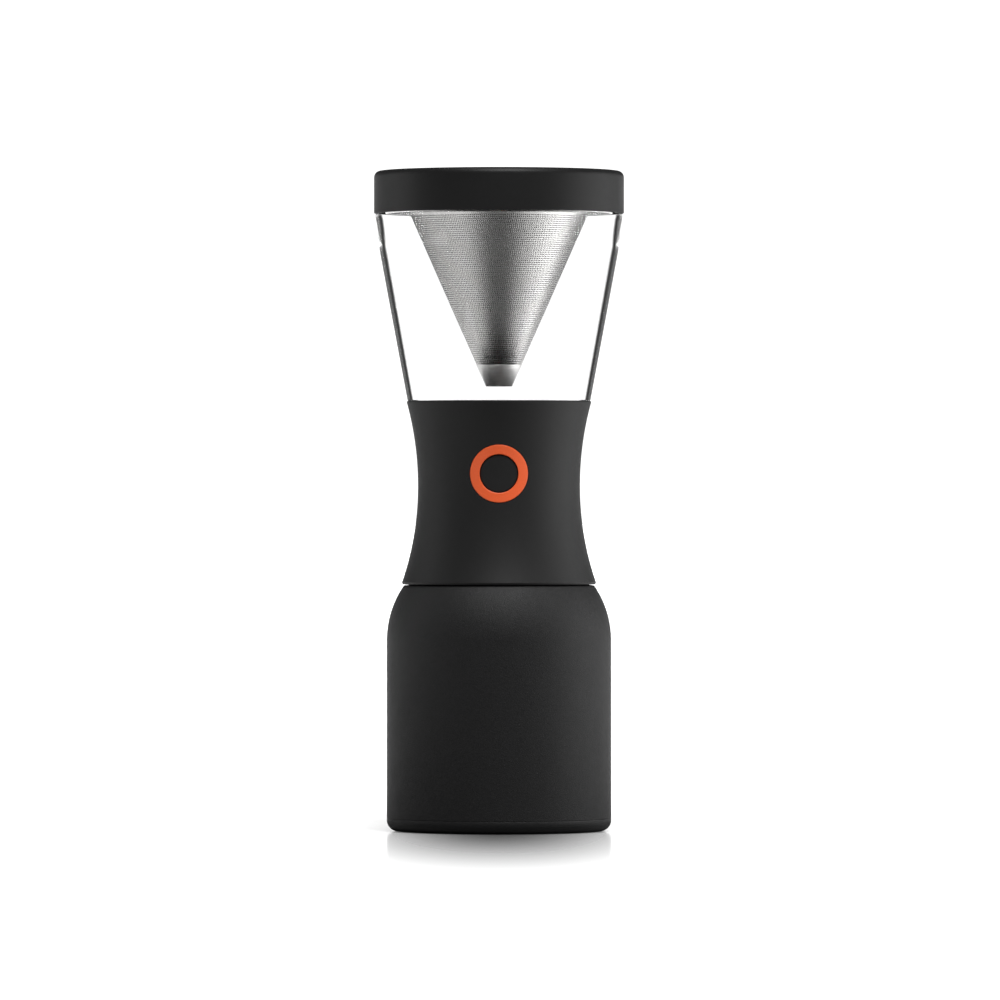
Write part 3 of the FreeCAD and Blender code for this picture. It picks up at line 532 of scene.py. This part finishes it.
def faced_ring(name, section, material, steps=160, flat_back=None):
    """A ring or cap round the button's axis. section is a run of (radius, depth) points,
    with depth measured in from the grip's curved face. A radius of 0 closes the face."""
    vertices = []
    rings = []
    for radius, depth in section:
        if radius == 0:
            rings.append([len(vertices)])
            vertices.append(on_grip(0, 0, depth))
            continue
        ring = []
        for step in range(steps):
            angle = 2 * math.pi * step / steps
            point = on_grip(radius * math.cos(angle), radius * math.sin(angle), depth)
            if flat_back is not None and depth > 2:
                point = (point[0], (flat_back + depth) * MM, point[2])
            ring.append(len(vertices))
            vertices.append(point)
        rings.append(ring)
    faces = []
    for lower, upper in zip(rings, rings[1:]):
        for step in range(steps):
            after = (step + 1) % steps
            if len(lower) == 1:
                faces.append((lower[0], upper[step], upper[after]))
            elif len(upper) == 1:
                faces.append((lower[after], lower[step], upper[0]))
            else:
                faces.append((lower[after], lower[step], upper[step], upper[after]))
    return finish_mesh(name, vertices, faces, material)


seat_radius, seat_depth = 14.62, 0.95
hole_radius, hole_depth = 11.3, 4.5
for radius, depth in ((seat_radius, seat_depth), (hole_radius, hole_depth)):
    steps_in = [radius * share / 6 for share in (5, 4, 3, 2, 1)]
    tool_run = [(0, -4), (radius, -4), (radius, depth)] + [(r, depth) for r in steps_in]
    drill(grip_body, faced_ring("drill", tool_run + [(0, depth)], None, steps=144))


def even_normals(piece):
    """Sets each smooth corner's normal from the turned form, so that the drilled opening
    leaves no streaks in the sheen."""
    mesh = piece.data
    on_wall = 0.97
    normals = []
    for face in mesh.polygons:
        for corner in face.vertices:
            spot = mesh.vertices[corner].co
            z = min(max(spot.z / MM, grip_low + 1.2), grip_top - 1.2)
            flare = lower_flare if z < waist_height else upper_flare
            slope = (z - waist_height) / math.sqrt(flare * flare - (z - waist_height) ** 2)
            out = Vector((spot.x, spot.y, 0)).normalized()
            true = Vector((out.x, out.y, -slope)).normalized()
            facing = face.normal.dot(true)
            in_body = grip_low + 3 < spot.z / MM < grip_top - 2
            if in_body and facing > on_wall:
                normals.append(true)
            elif in_body and facing < -on_wall:
                normals.append(-true)
            else:
                normals.append(Vector((0, 0, 0)))
    mesh.normals_split_custom_set(normals)


even_normals(grip_body)
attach(grip_body, "brewer")
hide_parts("grip_shell")

node_finish("threaded_collar", collar_black)

# Button ring. An orange moulded ring whose face follows the grip's curve, with a sleeve
# behind it that guides the button.

ring_outer = 14.4
ring_inner = 9.6
ring_seat = 0.9
ring_edge = 0.32
sleeve_outer = 11.2
sleeve_depth = 11
front_y = -grip_surface(button_height)
orange = grained("ring_orange_plastic", (0.75, 0.1, 0.019), 0.45, 2400, 0.35, bump=0.00006)
section = [(ring_inner, sleeve_depth), (ring_inner, 0.9), (ring_inner, 0.45)]
section += [(ring_inner + ring_edge * (1 - math.cos(a)), ring_edge * (1 - math.sin(a)))
            for a in (math.radians(d) for d in (20, 45, 70, 90))]
section += [(r, 0) for r in (10.6, 11.4, 12.2, 13.0, 13.6)]
section += [(ring_outer - ring_edge * (1 - math.sin(a)), ring_edge * (1 - math.cos(a)))
            for a in (math.radians(d) for d in (10, 35, 60, 90))]
section += [(ring_outer, ring_seat), (sleeve_outer, ring_seat),
            (sleeve_outer, sleeve_depth), (ring_inner, sleeve_depth)]
ring = faced_ring("button_surround", section, orange, flat_back=front_y)
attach(ring, "brewer")
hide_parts("button_ring")

# Brew button. A hollow cap moulded in the grip's black plastic, with its grain and curve.
# It slides in the ring's sleeve, and its face is set in a little.

button_black = grained("button_black_plastic", (0.0095, 0.0095, 0.0096), 0.5, 3600, 0.8,
                       sparkle=0.05, bump=0.00012, sheen=0.2)
recess = 0.7
cap_radius = 9.3
cap_edge = 0.4
skirt_depth = 11.0
flange_radius, flange_depth = 10.6, 12.5
cap_inside = 8.2
face_section = [(0, recess)] + [(r, recess) for r in (1.5, 3, 4.5, 6, 7.5, 8.4)]
face_section += [(cap_radius - cap_edge * (1 - math.sin(a)),
                  recess + cap_edge * (1 - math.cos(a)))
                 for a in (math.radians(d) for d in (0, 22, 45, 68, 90))]
face_section += [(cap_radius, 2.5), (cap_radius, skirt_depth), (flange_radius, skirt_depth),
                 (flange_radius, flange_depth), (cap_inside, flange_depth),
                 (cap_inside, 2.6), (0, 2.6)]
cap = faced_ring("button_face", face_section, button_black, flat_back=front_y)
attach(cap, "button")
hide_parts("button_cap")

# Valve parts. The plunger and stem are natural acetal, the valve body and gland bush are black
# plastic, the seals are silicone save the rod seal of dark rubber, and the spring and screws
# are bright steel.

acetal = grained("natural_acetal", (0.62, 0.61, 0.57), 0.35, 900, 0.3, bump=0.00005)
bright_steel = spun_steel("bright_steel", (0.6, 0.6, 0.6), 0.25)
dark_rubber = grained("dark_rubber", (0.03, 0.03, 0.03), 0.6, 1500, 0.5, bump=0.00008)
for node, material in (("plunger", acetal), ("valve_stem", acetal),
                       ("valve_stopper", silicone), ("drain_washer", silicone),
                       ("valve_body", collar_black), ("gland_bush", collar_black),
                       ("rod_seal", dark_rubber), ("return_spring", bright_steel),
                       ("chamber_screws", bright_steel), ("collar_screws", bright_steel),
                       ("lid_seal", silicone)):
    node_finish(node, material)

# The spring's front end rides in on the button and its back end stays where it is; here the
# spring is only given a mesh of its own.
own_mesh(bpy.data.objects["return_spring"])

# Brew chamber. One thick-walled moulding of clear plastic: a tapered wall that turns
# upright under the lid, a stepped rim, and a funnel floor with the drain at its middle.

chamber_foot = 45.73
chamber_bend = (60.05, grip_top + 76.5)
shoulder_radius = 62.1
ledge_height = 308.5
rim_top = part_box("brew_chamber")[1][2] / MM
rim_outer = 59.5
rim_inner = 57.4
seat_height = 206.6
floor_edge = 214.0
inside_foot = chamber_foot - 2.63
drain_bore = 5.0
spigot_radius = 7.5
spigot_low = 196.0
shelf_height = 208.0
inside_rim_low = 303
wall_steps = 24


def swept(start, end, curve, bulge):
    """Points of the short arc between two points. bulge is +1 to the left of the run."""
    steps = 14
    a = Vector(start)
    b = Vector(end)
    half = (b - a) / 2
    side = Vector((-half.y, half.x)).normalized() * bulge
    centre = a + half - side * math.sqrt(curve * curve - half.length_squared)
    points = []
    for i in range(steps + 1):
        spot = a.lerp(b, i / steps) - centre
        points.append(tuple(centre + spot.normalized() * curve))
    return points


def straight(start, end):
    """Points along a straight wall, without its two ends."""
    a, b = Vector(start), Vector(end)
    return [tuple(a.lerp(b, i / wall_steps)) for i in range(1, wall_steps)]


def clear_material(name):
    """Polished clear plastic. Most of it lets the light straight through."""
    material, tree, shader = new_material(name, (1.0, 1.0, 1.0), 0.0)
    shader.inputs["Transmission Weight"].default_value = 1.0
    shader.inputs["IOR"].default_value = 1.5
    shader.inputs["Alpha"].default_value = 0.045
    return material, tree, shader


def ramp(tree, value, start, end, low, high, kind="SMOOTHSTEP"):
    """A value that goes from low to high as the input goes from start to end."""
    node = tree.nodes.new("ShaderNodeMapRange")
    node.interpolation_type = kind
    for label, number in (("From Min", start), ("From Max", end), ("To Min", low),
                          ("To Max", high)):
        node.inputs[label].default_value = number
    tree.links.new(value, node.inputs["Value"])
    return node.outputs[0]


# Seen edge on, the wall is full glass: its colour is painted black just inside its edge,
# a painted shade for the dark seen through thick glass there, and it is clear at the edge.
clear, clear_tree, clear_shader = clear_material("clear_plastic")
edge_on = clear_tree.nodes.new("ShaderNodeLayerWeight")
edge_on.inputs["Blend"].default_value = 0.5
facing = edge_on.outputs["Facing"]
clear_tree.links.new(ramp(clear_tree, facing, 0.64, 0.71, 0.045, 1.0),
                     clear_shader.inputs["Alpha"])
# The base colour goes black short of the edge: painted shade, not a tint of the plastic.
clear_tree.links.new(ramp(clear_tree, facing, 0.74, 0.82, 0.0, 1.0),
                     clear_shader.inputs["Base Color"])
clear_inside = clear_material("clear_plastic_inside")[0]

vessel = [(drain_bore, seat_height - 0.2), (drain_bore, spigot_low + 0.3),
          (drain_bore + 0.3, spigot_low), (spigot_radius - 0.3, spigot_low),
          (spigot_radius, spigot_low + 0.3), (spigot_radius, 203.6), (8.2, 204.1),
          (40.0, 210.6), (40.2, shelf_height + 0.3), (40.5, shelf_height)]
vessel += [(grip_surface(shelf_height, grip_wall) - 0.2, shelf_height)]
vessel += [(grip_surface(214.9, grip_wall) - 0.2, 214.95), (45.4, grip_top + 0.02),
           (chamber_foot, grip_top + 0.35)]
vessel += straight((chamber_foot, grip_top + 0.35), chamber_bend)
vessel += swept(chamber_bend, (shoulder_radius, ledge_height - 0.6), 120, 1)
vessel += [(shoulder_radius - 0.15, ledge_height - 0.2), (shoulder_radius - 0.5, ledge_height),
           (rim_outer + 0.3, ledge_height), (rim_outer, ledge_height + 0.3)]
vessel += [(rim_outer, rim_top - 0.3), (rim_outer - 0.3, rim_top), (rim_inner + 0.3, rim_top),
           (rim_inner, rim_top - 0.3)]
inner_bend = (chamber_bend[0] - 3.8, chamber_bend[1])
vessel += swept((rim_inner, 306.1), inner_bend, 93, -1)
vessel += straight(inner_bend, (inside_foot, floor_edge + 1.5))
vessel += eased([(inside_foot + 0.25, floor_edge + 1.5), (inside_foot, floor_edge, 1.6),
                 (8.0, seat_height, 0.5), (drain_bore, seat_height, 0.3),
                 (drain_bore, seat_height - 0.5)], closed=False)
chamber = lathe("clear_chamber", vessel, clear, steps=320)
chamber.data.materials.append(clear_inside)
for face in chamber.data.polygons:
    inward = face.normal.dot(Vector((face.center.x, face.center.y, 0))) < 0
    on_rim = face.center.z > inside_rim_low * MM and abs(face.normal.z) > 0.5
    if inward or on_rim:
        face.material_index = 1
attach(chamber, "brewer")
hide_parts("brew_chamber")

# Chamber bosses. Four round posts moulded under the chamber's floor, each with a blind
# hole for a screw that holds the valve body up.

boss_radius, boss_low, boss_high = 3.4, 198.0, 205.4
screw_hole, screw_hole_high = 1.25, 203.98
boss_circle = 18
boss_run = [(0, screw_hole_high), (screw_hole, screw_hole_high), (screw_hole, boss_low),
            (boss_radius, boss_low), (boss_radius, boss_high), (0, boss_high)]
for index in range(4):
    angle = math.radians(45 + 90 * index)
    boss = lathe(f"chamber_boss_{index + 1}", boss_run, clear, steps=32)
    for vertex in boss.data.vertices:
        vertex.co.x += boss_circle * MM * math.cos(angle)
        vertex.co.y += boss_circle * MM * math.sin(angle)
    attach(boss, "brewer")

# Filter cone. Rolled from stainless sheet with fine punched holes in staggered rows, and
# backed by a finer mesh that holds the grounds. Its two ends are plain.

tip_low, tip_high = (value[2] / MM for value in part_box("filter_tip"))
cone_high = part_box("filter_mesh")[1][2] / MM
join_radius = 11.27
mouth_radius = 44.48
hole_pitch = 1.02
hole_share = 0.33
plain_foot, plain_head = 0.6, 0.9


def perforation_group():
    """Rows of round holes on an upright cone, each row set half a step from the last.
    The number of holes in a row follows the cone's girth."""
    group, source, result = new_group(
        "perforation", {"Pitch": hole_pitch * MM, "Hole": hole_share,
                        "Low": tip_high * MM, "High": cone_high * MM},
        {"Metal": "NodeSocketFloat", "Edge": "NodeSocketFloat"})
    nodes, links = group.nodes, group.links

    def sums(operation, *terms):
        return sum_node(group, operation, *terms)

    parts = nodes.new("ShaderNodeSeparateXYZ")
    links.new(nodes.new("ShaderNodeTexCoord").outputs["Object"], parts.inputs[0])
    x, y, z = parts.outputs
    pitch = source.outputs["Pitch"]
    above = sums("SUBTRACT", z, source.outputs["Low"])
    rows = sums("DIVIDE", above, pitch)
    row = sums("FLOOR", rows)
    up = sums("SUBTRACT", sums("SUBTRACT", rows, row), 0.5)
    row_height = sums("MULTIPLY", sums("ADD", row, 0.5), pitch)
    slope = (mouth_radius - join_radius) / (cone_high - tip_high)
    girth = sums("MULTIPLY_ADD", row_height, slope, join_radius * MM)
    count = sums("ROUND", sums("DIVIDE", sums("MULTIPLY", girth, 2 * math.pi), pitch))
    turn = sums("ADD", sums("DIVIDE", sums("ARCTAN2", y, x), 2 * math.pi), 0.5)
    stagger = sums("FRACT", sums("MULTIPLY", row, 0.5))
    along = sums("FRACT", sums("ADD", sums("MULTIPLY", turn, count), stagger))
    side = sums("SUBTRACT", along, 0.5)
    far = sums("SQRT", sums("ADD", sums("MULTIPLY", side, side), sums("MULTIPLY", up, up)))
    metal = sums("GREATER_THAN", far, source.outputs["Hole"])
    plain_low = sums("LESS_THAN", above, plain_foot * MM)
    plain_high = sums("GREATER_THAN", z,
                      sums("SUBTRACT", source.outputs["High"], plain_head * MM))
    solid = sums("MAXIMUM", metal, sums("MAXIMUM", plain_low, plain_high))
    links.new(solid, result.inputs["Metal"])
    rim = ramp(group, far, hole_share, 0.5, 0.0, 1.0, kind="LINEAR")
    links.new(rim, result.inputs["Edge"])
    return group


perforation = perforation_group()
sheet_steel, sheet_tree, sheet_shader = new_material("perforated_steel", (0.5, 0.496, 0.488),
                                                     0.22, metallic=1.0)
punched = place_group(sheet_tree, perforation)
sheet_tree.links.new(punched.outputs["Metal"], sheet_shader.inputs["Alpha"])
sheet_lines = place_group(sheet_tree, turned_lines, Lines=700.0, Gloss=0.22)
sheet_lines.inputs["Gloss Change"].default_value = 0.06
sheet_tree.links.new(sheet_lines.outputs["Gloss"], sheet_shader.inputs["Roughness"])
punch_relief = sheet_tree.nodes.new("ShaderNodeBump")
punch_relief.inputs["Distance"].default_value = 0.0001
punch_relief.inputs["Strength"].default_value = 0.25
sheet_tree.links.new(punched.outputs["Edge"], punch_relief.inputs["Height"])
sheet_tree.links.new(punch_relief.outputs["Normal"], sheet_shader.inputs["Normal"])

cone_run = [(join_radius + (mouth_radius - join_radius) * i / 30,
             tip_high + (cone_high - tip_high) * i / 30) for i in range(31)]
cone = lathe("filter_cone", cone_run, sheet_steel, closed=False, steps=256)
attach(cone, "filter")
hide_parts("filter_mesh")

# The lining's dark steel is partly the fine mesh's own colour and partly painted shade, for the
# shade in the mesh's openings.
lining_with_painted_shade = spun_steel("fine_mesh_lining", (0.12, 0.118, 0.115), 0.45, lines=2500.0)
lining_run = [(r - 0.22, z) for r, z in cone_run]
lining_run += [(r - 0.5, z) for r, z in reversed(cone_run)]
lining = lathe("filter_lining", lining_run, lining_with_painted_shade, steps=256)
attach(lining, "filter")

# Filter tip. A small solid cup, turned from stainless steel and polished to a satin, which
# closes the cone's point and is welded on round its upper edge.

tip_radius = 6.55
tip_wall = 0.7
tip_floor = 0.8
tip_run = eased([(0, tip_low), (tip_radius, tip_low, 0.5), (join_radius + 0.12, tip_high, 0.15),
                 (join_radius - tip_wall, tip_high, 0.1),
                 (tip_radius - tip_wall, tip_low + tip_floor, 0.5), (0, tip_low + tip_floor)],
                closed=False)
satin = spun_steel("satin_steel", (0.9, 0.895, 0.885), 0.4, lines=1500, bump=0.000005)
tip = lathe("filter_tip_cup", tip_run, satin, steps=192)
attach(tip, "filter")
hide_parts("filter_tip")

# Filter pan. A ring pressed from polished stainless sheet. The cone hangs from its floor,
# and its lip lies on the chamber's rim.

pan_outer = 57.2
pan_sheet = 0.8
pan_hole = mouth_radius - 0.5
lip_radius = 59.3
lip_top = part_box("filter_rim")[1][2] / MM
polished = spun_steel("polished_steel", (0.7, 0.695, 0.685), 0.14, lines=1500, bump=0.000005)
pan_run = eased([
    (pan_hole, cone_high), (pan_outer, cone_high, 1.6), (pan_outer, rim_top, 0.3),
    (lip_radius, rim_top, 0.35), (lip_radius, lip_top, 0.4),
    (pan_outer - pan_sheet, lip_top, 0.9), (pan_outer - pan_sheet, cone_high + pan_sheet, 0.8),
    (pan_hole, cone_high + pan_sheet, 0.3)])
filter_pan = lathe("filter_pan", pan_run, polished, steps=256)
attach(filter_pan, "filter")
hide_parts("filter_rim")

# Lid. A flat black moulding with an upright skirt and a rounded upper edge. Inside, a plug
# ring with a silicone seal fits the filter's pan.

lid_low, lid_high = (value[2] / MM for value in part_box("lid_cap"))
lid_radius = 62.5
skirt_inside = lid_radius - 2.7
roof = lid_high - 2.6
plug_low = lid_high - 12.0
rim_seat = 59.25
plug_outer, plug_inner = 55.9, 53.5
groove_radius, groove_low, groove_high = 55.1, 319.5, 322.5
lid_black = grained("lid_black_plastic", (0.008, 0.008, 0.0081), 0.46, 3600, 0.7,
                    sparkle=0.06, bump=0.0001, sheen=0.18)
lid_run = [(0, lid_high)] + [(r, lid_high) for r in (12, 24, 36, 48)]
lid_run += eased([(52, lid_high), (lid_radius, lid_high, 3.2), (lid_radius, lid_high - 8)],
                 closed=False)[1:]
lid_run += eased([(lid_radius, lid_low + 4), (lid_radius, lid_low, 0.35),
                  (skirt_inside, lid_low, 0.3), (skirt_inside, roof, 0.8),
                  (rim_seat, roof, 0.5), (rim_seat, lip_top, 0.3), (plug_outer, lip_top, 0.3),
                  (plug_outer, groove_high), (groove_radius, groove_high),
                  (groove_radius, groove_low), (plug_outer, groove_low),
                  (plug_outer, plug_low, 0.4), (plug_inner, plug_low, 0.4),
                  (plug_inner, roof, 0.8), (0, roof)], closed=False)
lid = lathe("lid_body", lid_run[::-1], lid_black, steps=256)
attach(lid, "lid")
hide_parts("lid_cap")

# Studio floor. Pale, and a little polished where the maker stands, so that a mirror image
# shows under it at a low angle. Only the camera sees it so: to other rays it is dim, with
# a white card on each side of the maker.

floor_mesh = bpy.data.meshes.new("floor")
floor_mesh.from_pydata([(-30, -30, 0), (30, -30, 0), (30, 60, 0), (-30, 60, 0)], [],
                       [(0, 1, 2, 3)])
floor = bpy.data.objects.new("floor", floor_mesh)
bpy.context.scene.collection.objects.link(floor)
pale = bpy.data.materials.new("pale_floor")
pale.use_nodes = True
floor_tree = pale.node_tree
floor_tree.nodes.clear()


def floor_shader(kind, **values):
    """A shader of the floor with its plain values set. A colour is one grey."""
    node = floor_tree.nodes.new(kind)
    for label, value in values.items():
        node.inputs[label].default_value = (value,) * 3 + (1,) if label == "Color" else value
    return node


def joined(kind, first, second, factor=None):
    """Two shaders added, or mixed by a factor."""
    node = floor_tree.nodes.new(kind)
    if factor is not None:
        floor_tree.links.new(factor, node.inputs[0])
    for socket, shader in zip(list(node.inputs)[-2:], (first, second)):
        floor_tree.links.new(shader.outputs[0], socket)
    return node


def floor_sum(*terms):
    """A Math node in the floor's material."""
    return sum_node(floor_tree, *terms)


bright = joined("ShaderNodeAddShader", floor_shader("ShaderNodeBsdfDiffuse", Color=0.92),
                floor_shader("ShaderNodeEmission", Strength=0.72))
polish = floor_shader("ShaderNodeBsdfGlossy", Color=0.95, Roughness=0.15)
place = floor_tree.nodes.new("ShaderNodeSeparateXYZ")
floor_tree.links.new(floor_tree.nodes.new("ShaderNodeTexCoord").outputs["Object"],
                     place.inputs[0])
polish_half_width = 0.17
polish_half_length = 1.0
across = floor_sum("DIVIDE", place.outputs[0], polish_half_width)
along = floor_sum("DIVIDE", place.outputs[1], polish_half_length)
reach = floor_sum("SQRT", floor_sum("MULTIPLY_ADD", across, across,
                                    floor_sum("MULTIPLY", along, along)))
grazing = floor_shader("ShaderNodeFresnel", IOR=1.1)
mirror = floor_sum("MULTIPLY", ramp(floor_tree, reach, 0.0, 1.0, 1.36, 0.0),
                   grazing.outputs[0])
seen = joined("ShaderNodeMixShader", bright, polish, mirror)

card_near, card_full, card_far = 0.14, 0.3, 0.75
aside = floor_sum("ABSOLUTE", place.outputs[0])
card_light = floor_shader("ShaderNodeEmission")
floor_tree.links.new(
    floor_sum("MULTIPLY", ramp(floor_tree, aside, card_near, card_full, 0.0, 1.15),
              floor_sum("LESS_THAN", aside, card_far)), card_light.inputs["Strength"])
unseen = joined("ShaderNodeAddShader", floor_shader("ShaderNodeBsdfDiffuse", Color=0.17),
                card_light)
is_camera = floor_tree.nodes.new("ShaderNodeLightPath").outputs["Is Camera Ray"]
surface = floor_tree.nodes.new("ShaderNodeOutputMaterial")
floor_tree.links.new(joined("ShaderNodeMixShader", unseen, seen, is_camera).outputs[0],
                     surface.inputs[0])
floor_mesh.materials.append(pale)
floor.location.z = -0.00005

# Surround. White to the camera and dim to other rays, so that the black pieces stay black.
# Low down, glossy rays meet a bright horizon, which keeps the floor's far part white.

world = bpy.data.worlds.new("studio")
bpy.context.scene.world = world
world.use_nodes = True
sky = world.node_tree
sky.nodes.clear()
surround = sky.nodes.new("ShaderNodeBackground")
surround.inputs["Color"].default_value = (1, 1, 1, 1)
output = sky.nodes.new("ShaderNodeOutputWorld")
sky.links.new(surround.outputs[0], output.inputs[0])
path = sky.nodes.new("ShaderNodeLightPath")
way = sky.nodes.new("ShaderNodeSeparateXYZ")
sky.links.new(sky.nodes.new("ShaderNodeTexCoord").outputs["Generated"], way.inputs[0])
horizon = ramp(sky, way.outputs[2], 0.06, 0.12, 1.0, 0.0)
ring_light = sum_node(sky, "MULTIPLY", horizon, path.outputs["Is Glossy Ray"])
behind = sum_node(sky, "GREATER_THAN", way.outputs[1], 0)
room = sum_node(sky, "ADD", sum_node(sky, "MULTIPLY_ADD", behind, 0.05, 0.04), ring_light)
strength = sum_node(sky, "MULTIPLY_ADD", path.outputs["Is Camera Ray"], 1.15, room)
sky.links.new(strength, surround.inputs["Strength"])

# Lights. A soft light from above, a key from the front and a little right, and two upright
# soft boxes. The left box hangs higher, so that the carafe's left side stays dark.


def sun_light(name, energy, rotation):
    """A broad light without distance, turned by these degrees from straight down."""
    lamp = bpy.data.lights.new(name, "SUN")
    lamp.energy = energy
    light = bpy.data.objects.new(name, lamp)
    light.rotation_euler = [math.radians(turn) for turn in rotation]
    bpy.context.scene.collection.objects.link(light)
    return lamp


def soft_box(name, side, depth, low, high, width, radiance):
    """An upright soft box at one side that faces the maker's axis."""
    lamp = bpy.data.lights.new(name, "AREA")
    lamp.shape = "RECTANGLE"
    lamp.size = width
    lamp.size_y = high - low
    lamp.energy = radiance * math.pi * width * (high - low)
    box = bpy.data.objects.new(name, lamp)
    box.location = (side, depth, (high + low) / 2)
    aim = Vector((-side, -depth, 0))
    box.rotation_euler = aim.to_track_quat("-Z", "Z").to_euler()
    bpy.context.scene.collection.objects.link(box)


sun_light("overhead", 0.8, (0, 0, 0)).angle = math.radians(35)
soft_box("right_box", 0.45, 0.0, 0.01, 0.5, 0.5, 2.2)
soft_box("left_box", -0.45, 0.05, 0.2, 0.5, 0.4, 1.15)
sun_light("front_key", 3.3, (30, 0, 14)).angle = math.radians(25)

# Camera. Level with the grip and far off, with a long lens, so that the outline is nearly
# without perspective.

camera_side = 0.0005
camera_distance = 4.75
camera_height = 0.1655
camera_data = bpy.data.cameras.new("camera")
camera_data.lens = 342
camera_data.sensor_width = 36
camera_data.clip_end = 100
camera = bpy.data.objects.new("camera", camera_data)
camera.location = (camera_side, -camera_distance, camera_height)
camera.rotation_euler = (math.pi / 2, 0, 0)
bpy.context.scene.collection.objects.link(camera)
bpy.context.scene.camera = camera
bpy.context.scene.view_settings.view_transform = "Standard"
